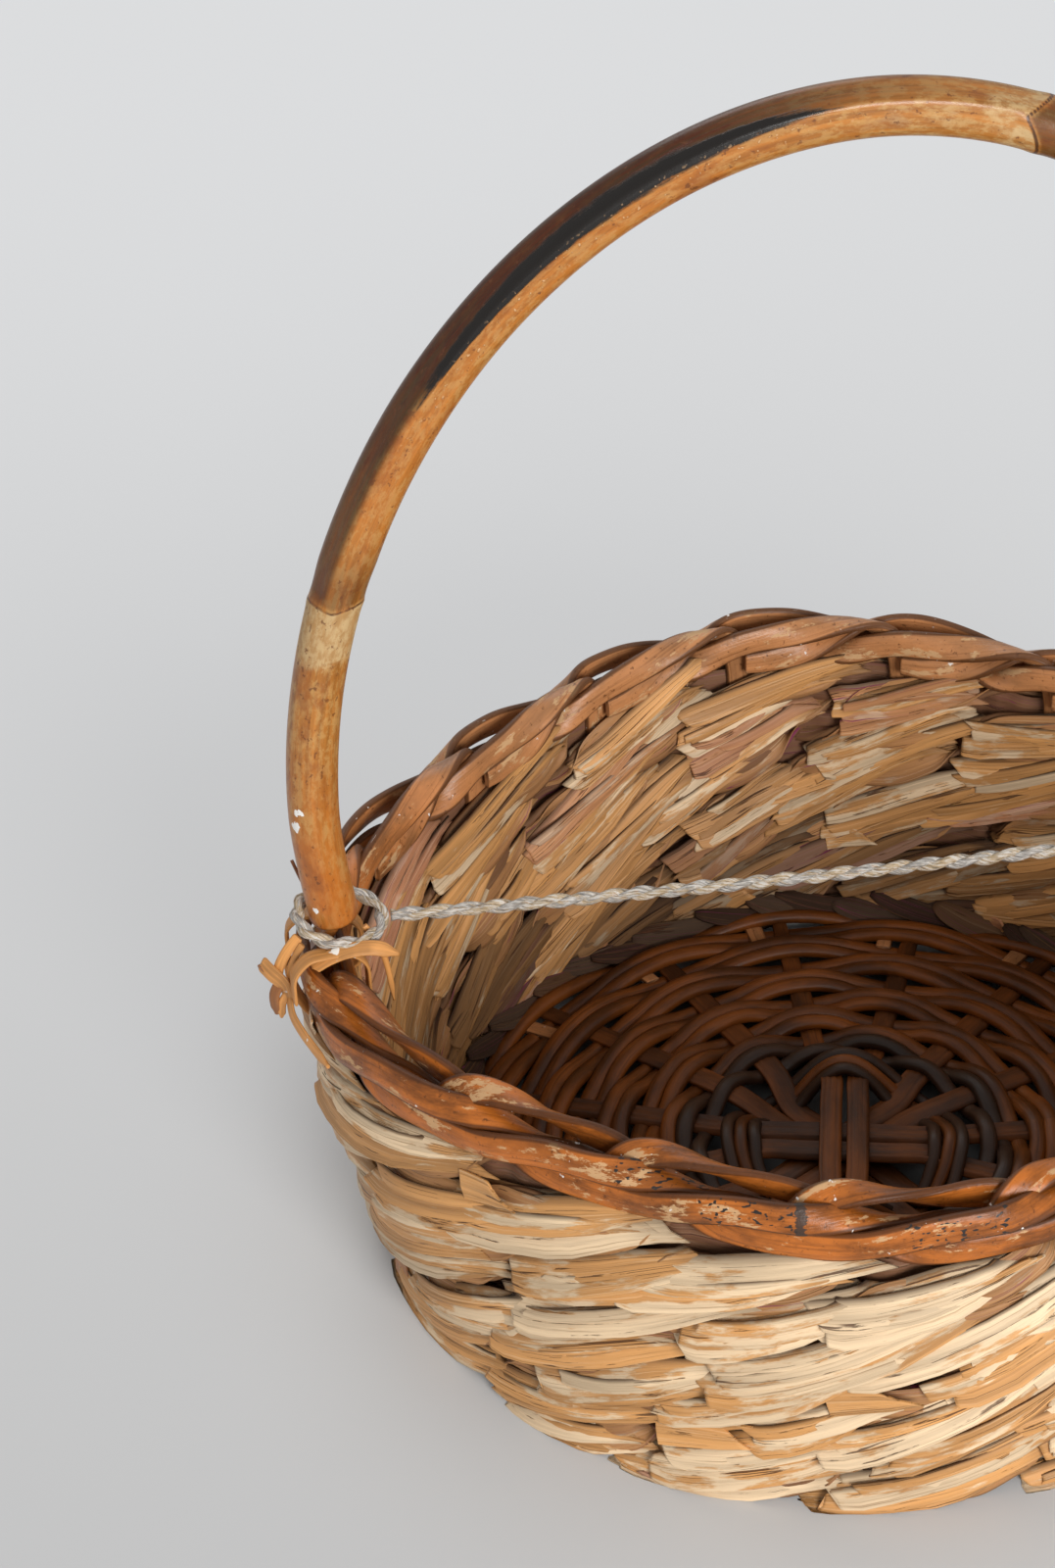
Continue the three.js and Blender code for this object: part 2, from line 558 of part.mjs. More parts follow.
for (let bundle = 0; bundle < BUNDLES; bundle += 1) {
  const first = FIRST_BUNDLED + Math.floor(bundle * STAKE_PAIRS / BUNDLES);
  const count = FIRST_BUNDLED + Math.floor((bundle + 1) * STAKE_PAIRS / BUNDLES) - first;
  const bundleAngle = spokeAngle(first + (count - 1) / 2);
  for (let i = 0; i < count; i += 1) {
    const offset = (i - (count - 1) / 2) * (STICK_WIDTH + SEAT_GAP);
    const far = first + count - 1 - i + STAKE_PAIRS;
    const stick = baseStick(first + i, far, bundleAngle, offset, BUNDLE_LAYERS[bundle]);
    add(basket, `base_stick_${(first + i) % STAKE_PAIRS + 1}`, stick, STICK);
  }
}
for (let row = 0; row < BASE_ROWS; row += 1) {
  add(basket, `base_weaver_${row + 1}`, baseWeaver(row), WEAVER);
}
for (let k = 0; k < STAKES; k += 1) add(basket, `stake_${k + 1}`, stake(k), ROD);
for (let row = 0; row < WALL_ROWS; row += 1) {
  add(basket, `wall_row_${row + 1}_strand_a`, strand(row, 0), LEAF);
  add(basket, `wall_row_${row + 1}_strand_b`, strand(row, 1), LEAF);
}
add(basket, 'handle_cane', handle(), CANE);
add(basket, 'tie_cord', cordSpan(), CORD);
console.log(`least gap between the lashing's turns: ${gapBetweenTurns(lashing()).toFixed(1)} mm`);
const feet = { right: 0, left: Math.PI };
for (const [name, turn] of Object.entries(feet)) {
  const foot = new THREE.Group();
  foot.rotation.z = turn;
  add(foot, `lashing_${name}`, lashing(), SPLINT);
  add(foot, `lashing_knot_${name}`, lashingKnot(), SPLINT);
  add(foot, `cord_loop_${name}`, cordLoop(), CORD);
  basket.add(foot);
}

export default basket;
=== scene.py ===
"""Handled basket, dressed for Blender: cane handle, rod border, leaf wall, wicker base and tie cord.

Everything is in metres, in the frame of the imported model: the handle stands in the X-Z plane, the
origin is on the floor under the middle of the base, and the photograph looks from -Y and above.
"""

import math

import bpy
import numpy as np
from bpy.props import FloatProperty, FloatVectorProperty, IntProperty, PointerProperty
from bpy.types import Operator, Panel, PropertyGroup
from mathutils import Matrix, Vector


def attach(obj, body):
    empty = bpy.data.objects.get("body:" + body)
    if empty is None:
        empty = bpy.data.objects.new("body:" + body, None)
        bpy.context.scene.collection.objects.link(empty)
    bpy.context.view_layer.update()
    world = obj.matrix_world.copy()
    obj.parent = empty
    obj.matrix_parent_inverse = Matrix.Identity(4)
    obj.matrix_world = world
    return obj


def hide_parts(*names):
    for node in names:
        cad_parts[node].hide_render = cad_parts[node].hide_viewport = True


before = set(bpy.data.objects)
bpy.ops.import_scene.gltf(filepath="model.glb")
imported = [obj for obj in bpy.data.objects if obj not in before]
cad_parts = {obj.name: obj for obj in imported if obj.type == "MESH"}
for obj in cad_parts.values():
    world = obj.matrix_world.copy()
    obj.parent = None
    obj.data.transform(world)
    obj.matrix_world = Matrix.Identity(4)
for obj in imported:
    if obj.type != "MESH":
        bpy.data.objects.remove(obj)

bl_info = {
    "name": "Handled Basket",
    "version": (1, 0, 0),
    "blender": (4, 5, 0),
    "location": "View3D > Sidebar > Basket",
    "description": "Dresses a woven basket with a bent cane handle, a rod border and a tie cord",
    "category": "Object",
}

MM = 0.001
TURN = 2 * math.pi

# Rim, foot and wall, as in the part's source
RIM_HALF_LENGTH = 170 * MM
RIM_HALF_WIDTH = 150 * MM
RIM_FLATTENING = 6.85 * MM
RIM_HEIGHT = 118.5 * MM
RIM_DIP = 3 * MM
FOOT_RADIUS = 142 * MM
FOOT_OVAL = 0.03
WALL_BULGE = 4 * MM
WALL_ROWS = 7
BORDER_DEPTH = 9.6 * MM
LASHING_SLOT = 2.7 * MM

# Stakes and base
STAKES = 16
PERIOD = TURN / STAKES
STAKE_ASIDE = 11 * MM
STAKE_ANGLE = STAKE_ASIDE / RIM_HALF_LENGTH
SLOT = 5.5 * MM
BASE_RADIUS = 130.8 * MM
BASE_EDGE_HEIGHT = 5.2 * MM
BASE_CROWN = 5.8 * MM
BASE_ROWS = 8
FIRST_ROW_RADIUS = 50 * MM
ROW_PITCH = 10.86 * MM
LAST_ROW_RADIUS = FIRST_ROW_RADIUS + (BASE_ROWS - 1) * ROW_PITCH
TAIL_LENGTH = 22 * MM
SPOKE_ASIDE = 8.5 * MM
SPOKE_TURN = math.asin(SPOKE_ASIDE / (BASE_RADIUS - TAIL_LENGTH))
BUNDLES = 4

# Handle and cord
CANE_RADIUS = 8.9 * MM
HOOP_HALF_SPAN = 169.6 * MM
HOOP_WIDEST = 173.5 * MM
HOOP_RISE = 222 * MM
HOOP_SQUARENESS = 1.956
FOOT_RETURN = 3.7 * MM
SHOULDER_HEIGHT = 134 * MM
TONGUE_DEPTH = 52 * MM
CORD_HEIGHT = 131.5 * MM
CORD_SAG = 2.2 * MM

# The photograph's camera: 1077 by 1600 pixels
CAMERA_PLACE = (-0.189824, -0.845520, 0.810282)
CAMERA_PITCH = math.radians(36.6665)
CAMERA_AZIMUTH = math.radians(5.8530)
CAMERA_ROLL = math.radians(2.3356)
CAMERA_LENS = 78.7725

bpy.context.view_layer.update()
UP = np.array([0.0, 0.0, 1.0])


def color_setting(name, description, default):
    return FloatVectorProperty(name=name, description=description, subtype="COLOR", size=3, min=0, max=1,
                               default=default)


def length_setting(name, description, low, high, default):
    """A length whose limits and default are given in millimetres."""
    return FloatProperty(name=name, description=description, unit="LENGTH", min=low * MM, max=high * MM,
                         default=default * MM)


class BasketLooks(PropertyGroup):
    """Colours and sizes that a user would change."""

    cane_color: color_setting("Cane", "Bark of the handle", (0.38, 0.148, 0.030))
    rod_color: color_setting("Rods", "Bark of the border's rods", (0.30, 0.086, 0.012))
    leaf_color: color_setting("Leaf", "Bare straw of the leaves", (0.80, 0.60, 0.385))
    skin_color: color_setting("Leaf skin", "Tan skin that is left on the leaves", (0.52, 0.26, 0.090))
    base_color: color_setting("Base", "Rods of the base", (0.115, 0.032, 0.004))
    splint_color: color_setting("Lashing", "Strip of the lashings", (0.62, 0.28, 0.08))
    cord_color: color_setting("Cord", "Grey ply of the cord", (0.42, 0.39, 0.36))
    floor_color: color_setting("Floor", "Seamless floor", (0.60, 0.605, 0.61))
    rod_width: length_setting("Rod width", "Width of the border's split rods", 4, 14, 9.6)
    rod_thickness: length_setting("Rod thickness", "Thickness of the border's split rods", 2, 8, 3.9)
    strand_reach: length_setting("Strand reach", "How far a wall strand stands off the stakes", 3, 12, 6.6)
    leaf_thickness: length_setting("Leaf thickness", "Thickness of one leaf", 0.3, 2, 0.7)
    cord_diameter: length_setting("Cord diameter", "Diameter of the tie cord over both plies", 2, 8, 5.0)
    leaf_overlap: FloatProperty(
        name="Leaf overlap", description="Height of a leaf as a share of its row",
        min=0.8, max=1.6, default=1.10)
    stroke_slope: FloatProperty(
        name="Stroke slope", description="Rows that a stroke of the wall climbs from stake to stake",
        min=0.4, max=2.4, default=2.05)
    seed: IntProperty(
        name="Seed", description="Chooses the leaves' own shapes and tones", default=7)


# Shapes


def full_turn(count):
    """The angles of a closed ring of points."""
    return np.linspace(0, TURN, count, endpoint=False)


def there_and_back(row):
    """A row of values and the same row backwards, as a leaf's two faces have them."""
    return np.concatenate([row, row[::-1]])


def closed_row(row):
    """A row of values with the first one again at its end, for the seam."""
    return np.append(row, row[0])


def outward(angle):
    """Level direction at an angle: (cos, sin, 0)."""
    return np.stack([np.cos(angle), np.sin(angle), np.zeros_like(angle)], -1)


def unit(vectors):
    return vectors / np.maximum(np.linalg.norm(vectors, axis=-1, keepdims=True), 1e-12)


def smoothstep(low, high, value):
    """A cubic rise from 0 at low to 1 at high."""
    share = np.clip((value - low) / (high - low), 0, 1)
    return share * share * (3 - 2 * share)


def bell(distance, width):
    """A smooth bump: 1 at no distance and 1/e at the width."""
    return np.exp(-((distance / width) ** 2))


def rim_radius(angle):
    """Mean radius, plus the oval's cos 2a and the drawn-in shoulders' cos 4a."""
    mean = (RIM_HALF_LENGTH + RIM_HALF_WIDTH) / 2 - RIM_FLATTENING
    oval = (RIM_HALF_LENGTH - RIM_HALF_WIDTH) / 2
    return mean + oval * np.cos(2 * angle) + RIM_FLATTENING * np.cos(4 * angle)


def foot_stretch(angle):
    """The foot is an oval, longer along X."""
    return 1 + FOOT_OVAL * (1 + np.cos(2 * angle)) / 2


def rim_height(angle):
    """The rim dips towards the handle's feet, by a cosine of twice the angle."""
    return RIM_HEIGHT - RIM_DIP * (1 + np.cos(2 * angle)) / 2


def wall_top(angle):
    """The strands end under the border and the slot that its lashing runs through."""
    return rim_height(angle) - BORDER_DEPTH - LASHING_SLOT


def wall_middle(angle, height):
    """Foot radius to rim radius in proportion to height, plus a parabola that bulges the wall."""
    share = height / rim_height(angle)
    foot = FOOT_RADIUS * foot_stretch(angle)
    bulge = 4 * WALL_BULGE * share * (1 - share)
    radius = foot + (rim_radius(angle) - foot) * share + bulge
    point = outward(angle) * radius[..., None]
    point[..., 2] = height
    return point


def wall_normal(angle, height):
    """Level direction square to the wall: the difference along the wall, crossed with up."""
    step = 0.01
    along = wall_middle(angle + step, height) - wall_middle(angle - step, height)
    return unit(np.cross(along, UP))


def facing(normal, turn):
    """A level normal turned up by an angle."""
    return normal * np.cos(turn)[:, None] + UP * np.sin(turn)[:, None]


def wall_point(angle, height, out):
    """The wall's middle, moved out along its normal."""
    angle, height, out = np.broadcast_arrays(angle, height, out)
    return wall_middle(angle, height) + wall_normal(angle, height) * out[..., None]


def base_height(radius):
    """The base's crown, a parabola over the radius."""
    return BASE_EDGE_HEIGHT + BASE_CROWN * (1 - (radius / LAST_ROW_RADIUS) ** 2)


def base_point(angle, radius, height):
    """A point of the base, whose circles are stretched as the foot is."""
    point = outward(angle) * (radius * foot_stretch(angle))[..., None]
    point[..., 2] = height
    return point


def stake_angle(k):
    return STAKE_ANGLE + k * PERIOD


def spoke_angle(k):
    """The base's spoke lies beside the tail of its stake."""
    return stake_angle(k) - SPOKE_TURN


def smooth_path(stations, count):
    """Catmull-Rom spline through the rows of stations, whose first three columns are a point.

    The parameter grows by the root of the distance between points, and the spline is sampled
    evenly in it."""
    steps = np.linalg.norm(np.diff(stations[:, :3], axis=0), axis=1) ** 0.5
    knots = np.concatenate([[0], np.cumsum(steps)])
    slopes = np.gradient(stations, knots, axis=0)
    at = np.linspace(0, knots[-1], count)
    i = np.clip(np.searchsorted(knots, at, side="right") - 1, 0, len(knots) - 2)
    span = (knots[i + 1] - knots[i])[:, None]
    t = ((at - knots[i])[:, None]) / span
    return ((2 * t**3 - 3 * t**2 + 1) * stations[i] + (t**3 - 2 * t**2 + t) * span * slopes[i]
            + (3 * t**2 - 2 * t**3) * stations[i + 1] + (t**3 - t**2) * span * slopes[i + 1])


def arc_length(points):
    steps = np.linalg.norm(np.diff(points, axis=0), axis=1)
    return np.concatenate([[0], np.cumsum(steps)])


def even_path(points, count):
    """Points at even arc length along a dense row of points."""
    length = arc_length(points[:, :3])
    at = np.linspace(0, length[-1], count)
    return np.stack([np.interp(at, length, column) for column in points.T], -1)


def sweep(path, face, across, deep):
    """A section carried along a path: path + side * across + front * deep.

    Front is the face direction made square to the path, and side is square to both. across and
    deep are (m,) or (n, m) offsets in metres."""
    along = unit(np.gradient(path, axis=0))
    front = unit(face - along * np.sum(face * along, -1, keepdims=True))
    side = np.cross(along, front)
    across = np.broadcast_to(across, (len(path), np.shape(across)[-1]))[..., None]
    deep = np.broadcast_to(deep, across.shape[:2])[..., None]
    return path[:, None] + side[:, None] * across + front[:, None] * deep


def relax(points, reach):
    """Moving average over evenly spaced rows, with a cosine window; the ends are held."""
    window = np.hanning(2 * reach + 3)[1:-1]
    padded = np.pad(points, ((reach, reach), (0, 0)), mode="edge")
    return np.stack([np.convolve(column, window / window.sum(), "valid") for column in padded.T], -1)


def waves(position, rng, count, slowest):
    """Sum of sines with random phases, whose wave numbers grow and amplitudes shrink; about 1 high."""
    total = np.zeros_like(position, dtype=float)
    for i in range(count):
        turns = slowest * (i + 1) * rng.uniform(0.8, 1.2)
        total += np.sin(TURN * (turns * position + rng.random())) / (i + 1)
    return total / 1.6


def rounded(wave, power):
    """A wave from -1 to 1, made squarer by a power under 1."""
    return np.sign(wave) * np.abs(wave) ** power


def split_rod(count, squareness=0.5, crown=0.35):
    """Section of a split rod, one wide and one thick: a squarish oval whose bark side is crowned."""
    turn = full_turn(count)
    across = 0.5 * rounded(np.cos(turn), 0.8)
    deep = 0.5 * rounded(np.sin(turn), squareness)
    return across, np.where(deep > 0, deep * (1 - crown * (2 * across) ** 2), deep)


class Skin:
    """Closed shells over grids of points, gathered into one mesh with a UV map and attributes."""

    def __init__(self):
        self.points, self.faces, self.values = [], [], {}
        self.total = 0

    def add(self, grid, along, across, closed=False, **values):
        """One shell from n rings of m points.

        along has n values in metres, or n + 1 where the rings close on themselves, and across
        has m + 1, the last one for the seam. The shell is turned inside out if the sum of its
        tetrahedra says that its faces point inwards."""
        n, m = grid.shape[:2]
        rows = np.arange(n if closed else n - 1)[:, None]
        columns = np.arange(m)[None]
        after, beside = (rows + 1) % n, (columns + 1) % m
        quads = np.stack([rows * m + columns, rows * m + beside,
                          after * m + beside, after * m + columns], -1).reshape(-1, 4)
        flat = grid.reshape(-1, 3)
        a, b, c, d = (flat[quads[:, i]] - flat.mean(0) for i in range(4))
        volume = np.sum(a * np.cross(b, c)) + np.sum(a * np.cross(c, d))
        u = np.stack(np.broadcast_arrays(along[rows], along[rows], along[rows + 1], along[rows + 1]), -1)
        v = np.stack([across[columns], across[columns + 1], across[columns + 1], across[columns]], -1)
        uv = np.stack(np.broadcast_arrays(u, v), -1).reshape(-1, 4, 2)
        if volume < 0:
            quads, uv = quads[:, ::-1], uv[:, ::-1]
        self.points.append(flat)
        self.faces.append((quads + self.total, uv))
        if not closed:
            ends = [np.arange(m), np.arange(m)[::-1] + (n - 1) * m]
            for ring, at in zip(ends, (along[0], along[-1])):
                ring = ring[::-1] if volume > 0 else ring
                cap = np.stack([np.full(m, at), across[ring % m]], -1)
                self.faces.append((ring[None] + self.total, cap[None]))
        for name, value in values.items():
            spread = np.broadcast_to(value, (n, m)) if np.ndim(value) != 1 else np.repeat(value, m)
            self.values.setdefault(name, []).append((self.total, spread.reshape(-1)))
        self.total += n * m

    def piece(self, name, material, slot, *nodes):
        """Makes the object, which rides on the part and stands for these CAD nodes."""
        mesh = bpy.data.meshes.new(name)
        mesh.vertices.add(self.total)
        mesh.vertices.foreach_set("co", np.concatenate(self.points).astype(np.float32).ravel())
        corners = np.concatenate([faces.ravel() for faces, _ in self.faces])
        sizes = np.concatenate([np.full(len(faces), faces.shape[1]) for faces, _ in self.faces])
        mesh.loops.add(len(corners))
        mesh.loops.foreach_set("vertex_index", corners.astype(np.int32))
        mesh.polygons.add(len(sizes))
        starts = np.concatenate([[0], np.cumsum(sizes)[:-1]])
        mesh.polygons.foreach_set("loop_start", starts.astype(np.int32))
        mesh.polygons.foreach_set("use_smooth", sizes == 4)
        layer = mesh.uv_layers.new(name="UVMap")
        uv = np.concatenate([part.reshape(-1, 2) for _, part in self.faces])
        layer.data.foreach_set("uv", uv.astype(np.float32).ravel())
        for key, parts in self.values.items():
            column = np.zeros(self.total, np.float32)
            for start, value in parts:
                column[start:start + len(value)] = value
            mesh.attributes.new(key, "FLOAT", "POINT").data.foreach_set("value", column)
        mesh.update(calc_edges=True)
        mesh.validate()
        mesh.materials.append(material)
        piece = bpy.data.objects.new(name, mesh)
        bpy.context.scene.collection.objects.link(piece)
        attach(piece, "root")
        if nodes:
            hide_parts(*nodes)
        return piece


# Materials


class Signal:
    """A socket of a shader tree. Python's operators on it add Math nodes."""

    def __init__(self, recipe, socket):
        self.recipe, self.socket = recipe, socket

    def math(self, operation, *values):
        return self.recipe.node("ShaderNodeMath", {"operation": operation}, *values)

    def __add__(self, other):
        return self.math("ADD", self, other)

    def __radd__(self, other):
        return self.math("ADD", other, self)

    def __sub__(self, other):
        return self.math("SUBTRACT", self, other)

    def __rsub__(self, other):
        return self.math("SUBTRACT", other, self)

    def __mul__(self, other):
        return self.math("MULTIPLY", self, other)

    def __rmul__(self, other):
        return self.math("MULTIPLY", other, self)

    def __abs__(self):
        return self.math("ABSOLUTE", self)

    def step(self, low, high):
        """0 below low and 1 above high, with a smooth rise between; it falls where high is below low."""
        settings = {"interpolation_type": "SMOOTHSTEP"}
        if low < high:
            return self.recipe.node("ShaderNodeMapRange", settings, self, low, high, 0.0, 1.0)
        return self.recipe.node("ShaderNodeMapRange", settings, self, high, low, 1.0, 0.0)


class Recipe:
    """One material: a Principled shader and the nodes that feed it."""

    def __init__(self, name, **constants):
        self.material = bpy.data.materials.new(name)
        self.material.use_nodes = True
        self.tree = self.material.node_tree
        self.shader = self.tree.nodes["Principled BSDF"]
        for socket, value in constants.items():
            self.shader.inputs[socket.replace("_", " ")].default_value = value

    def node(self, kind, settings=None, *values, output=0, **sockets):
        """Adds a node, sets its settings, then feeds its sockets with values or signals."""
        node = self.tree.nodes.new(kind)
        for key, value in (settings or {}).items():
            setattr(node, key, value)
        for key, value in [*enumerate(values), *sockets.items()]:
            self.feed(node.inputs[key], value)
        return Signal(self, node.outputs[output])

    def feed(self, socket, value):
        if isinstance(value, Signal):
            self.tree.links.new(value.socket, socket)
        else:
            socket.default_value = (*value, 1.0) if socket.type == "RGBA" else value

    def set(self, **sockets):
        for socket, value in sockets.items():
            self.feed(self.shader.inputs[socket.replace("_", " ")], value)

    def attribute(self, name):
        return self.node("ShaderNodeAttribute", {"attribute_name": name}, output=2)

    def attributes(self, *names):
        return [self.attribute(name) for name in names]

    def parts(self, vector):
        """The three parts of a vector."""
        split = self.node("ShaderNodeSeparateXYZ", None, vector)
        return [Signal(self, socket) for socket in split.socket.node.outputs]

    def lengths(self):
        """The UV map's two coordinates: metres along the piece and metres across it."""
        return self.parts(self.node("ShaderNodeUVMap", {"uv_map": "UVMap"}))[:2]

    def noise(self, x, y, z=0.0, detail=2.0, roughness=0.5):
        place = self.node("ShaderNodeCombineXYZ", None, x, y, z)
        return self.node("ShaderNodeTexNoise", None, Vector=place, Scale=1.0, Detail=detail,
                         Roughness=roughness)

    def mix(self, share, first, second):
        """Mixes two colours."""
        mixer = self.node("ShaderNodeMix", {"data_type": "RGBA"}, share, output=2)
        self.feed(mixer.socket.node.inputs[6], first)
        self.feed(mixer.socket.node.inputs[7], second)
        return mixer

    def shades(self, share, color, darker, lighter):
        """Mixes two shades of one colour."""
        return self.mix(share, shade(color, darker), shade(color, lighter))

    def layers(self, color, *layers):
        """A colour with others laid over it in turn, each given as its share and itself."""
        for share, layer in layers:
            color = self.mix(share, color, layer)
        return color

    def bump(self, height, distance):
        self.set(Normal=self.node("ShaderNodeBump", None, Height=height, Distance=distance))


def shade(color, factor):
    """A colour made lighter or darker."""
    return tuple(min(1.0, channel * factor) for channel in color)


# Colours that a user wouldn't change
PINK_LEAF = (0.46, 0.19, 0.125)
# Darkest leaf colour: dark leaves, and painted shade on cores, the heart and covered edges
DARK_LEAF_AND_PAINTED_SHADE = (0.034, 0.014, 0.006)
LEAF_CRACK = (0.085, 0.030, 0.012)
PURPLE_THREAD = (0.20, 0.02, 0.09)
BACK_LIT_ROD = (0.38, 0.15, 0.05)
BACK_LIT_PALE_ROD = (0.64, 0.37, 0.19)
WORN_ROD = (0.58, 0.36, 0.18)
NODE_MARK = (0.030, 0.024, 0.020)
BLACK_DASH = (0.022, 0.018, 0.016)
ROD_FLECK = (0.80, 0.76, 0.72)
HONEY_CANE = (0.52, 0.31, 0.11)
WARM_CANE = (0.46, 0.125, 0.016)
BROWN_CANE = (0.26, 0.080, 0.020)
DARK_SCORCH = (0.010, 0.004, 0.002)
RED_SCORCH = (0.085, 0.018, 0.003)
DARK_CREAM = (0.42, 0.25, 0.10)
PALE_CREAM = (0.55, 0.39, 0.20)
CANE_SPOT = (0.13, 0.042, 0.014)
CHAR = (0.008, 0.006, 0.005)
BARE_DOT = (0.66, 0.40, 0.20)
JOINT_SEAM = (0.055, 0.020, 0.010)
PAINT_FLECK = (0.82, 0.80, 0.77)
BLACK_WICKER = (0.018, 0.012, 0.009)
SPLINT_END = (0.20, 0.07, 0.025)
SPLINT_FLECK = (0.82, 0.78, 0.72)
STRAW_FIBRE = (0.58, 0.43, 0.26)
ORANGE_TUFT = (0.52, 0.28, 0.10)
WHITE_FIBRE = (0.82, 0.79, 0.74)
NEAR_GLOW = (0.46, 0.46, 0.46)
FAR_GLOW = (0.73, 0.74, 0.755)

# The floor, in metres: where its painted shadow under the basket ends, where its own light begins round it,
# where its painted light turns from the darker front to the lighter back, and the most that its own light
# counts
PAINTED_SHADOW_RADII = (0.11, 0.14)
ROUND_BASKET = (0.13, 0.26)
PAINTED_LIGHT_DEPTH = (-0.7, 0.9)
GLOW_SHARE = 0.7


def leaf_material(looks):
    """Dry leaf: bare straw with ragged patches of tan skin, fibres and cracks along it, and dark tints. The
    fibres carry painted shade in their grooves and a painted highlight on their ridges, and the dark value
    also carries painted shade.
    """
    recipe = Recipe("leaf_strand", Specular_IOR_Level=0.34)
    u, v = recipe.lengths()
    tone, pink, dark, hue = recipe.attributes("tone", "pink", "dark", "hue")
    fibre = recipe.noise(u * 15, v * 1500, hue * 11, detail=4, roughness=0.68)
    ragged = recipe.noise(u * 34, v * 170, hue * 37, detail=7, roughness=0.64)
    broad = recipe.noise(u * 14, v * 260, hue * 23, detail=3)
    split = recipe.noise(u * 7, v * 420, hue * 19, detail=1)
    vein = recipe.noise(u * 5, v * 420, hue * 71, detail=0)
    skin = (ragged + tone * 0.36 + fibre * 0.14).step(0.67, 0.76)
    groove_grain_and_shade = fibre.step(0.47, 0.30)
    crack = abs(split - 0.5).step(0.014, 0.004) * ragged.step(0.50, 0.56)
    thread = abs(vein - 0.5).step(0.006, 0.002)
    straw = recipe.shades(broad.step(0.32, 0.68), looks.leaf_color, 0.74, 1.1)
    tan = recipe.shades(broad.step(0.3, 0.7), looks.skin_color, 0.85, 1.4)
    color = recipe.layers(
        recipe.mix(skin, straw, tan),
        (pink * 0.7, PINK_LEAF),
        # Dark leaves, and painted shade where leaves lie under others, by the dark value
        (dark, DARK_LEAF_AND_PAINTED_SHADE),
        # Fibre grain, with painted shade in the grooves
        (groove_grain_and_shade * 0.64, shade(looks.skin_color, 0.40)),
        # Fibre grain, with a painted highlight on the ridges
        (fibre.step(0.55, 0.72) * 0.45 * (1 - dark), shade(looks.leaf_color, 1.25)),
        (crack * 0.85, LEAF_CRACK),
        (thread * pink.step(0.05, 0.2) * 0.8, PURPLE_THREAD))
    recipe.set(Base_Color=color, Roughness=0.47 - skin * 0.06 + groove_grain_and_shade * 0.15 + dark * 0.4)
    recipe.bump(fibre * 0.6 + broad * 0.8 + skin * 0.2 - crack, 0.4 * MM)
    return recipe.material


def rod_material(looks):
    """Split rod: mottled brown bark, lighter at the back with painted light, with pits, dark edges
    (the split's own colour and painted shade between the rods), worn pale patches, black marks and white
    flecks."""
    recipe = Recipe("border_rod", Specular_IOR_Level=0.36)
    u, v = recipe.lengths()
    tone, node, faded, crest, rim, specks = recipe.attributes(
        "tone", "node", "faded", "crest", "rim", "specks")
    cloud = recipe.noise(u * 30, v * 95, tone * 31, detail=6, roughness=0.66)
    fibre = recipe.noise(u * 18, v * 1100, tone * 7, detail=3, roughness=0.65)
    pits = recipe.noise(u * 520, v * 560, tone * 19, detail=3, roughness=0.6)
    worn = recipe.noise(u * 40, v * 125, tone * 53, detail=8, roughness=0.72)
    hairs = recipe.noise(u * 260, v * 900, tone * 3, detail=2)
    dash = recipe.noise(u * 420, v * 900, tone * 41, detail=1, roughness=0.4)
    fleck = recipe.noise(u * 300, v * 330, tone * 17, detail=3, roughness=0.6)
    patch = (worn + crest * 0.06 + pits * 0.06).step(0.635, 0.672)
    mark = (node * 1.3 + (hairs - 0.5) * node.step(0.02, 0.25) * 2.4).step(0.62, 0.8)
    white = (fleck + worn * 0.16 + patch * 0.03).step(0.785, 0.825)
    color = recipe.layers(
        recipe.shades(cloud.step(0.34, 0.64), looks.rod_color, 0.42, 1.70),
        (tone.step(0.6, 1.0) * 0.5, shade(looks.rod_color, 1.9)),
        # Painted light: the rods towards the back are lighter
        (faded * 0.6, recipe.mix(cloud, BACK_LIT_ROD, BACK_LIT_PALE_ROD)),
        (fibre.step(0.5, 0.3) * 0.45, shade(looks.rod_color, 0.3)),
        (pits.step(0.40, 0.28) * 0.7, shade(looks.rod_color, 0.22)),
        (patch * 0.85, WORN_ROD),
        # Dark edges: the split's own colour, with painted shade between the rods
        (rim.step(0.15, 0.8) * 0.8, shade(looks.rod_color, 0.20)),
        (mark * 0.9, NODE_MARK),
        ((dash * specks.step(0.1, 0.7)).step(0.60, 0.64), BLACK_DASH),
        (white, ROD_FLECK))
    recipe.set(Base_Color=color, Roughness=0.31 + patch * 0.30 + white * 0.3 + rim * 0.15 + cloud * 0.08)
    recipe.bump(fibre * 0.35 + worn * 0.5 + cloud * 0.5 + pits * 0.4, 0.4 * MM)
    return recipe.material


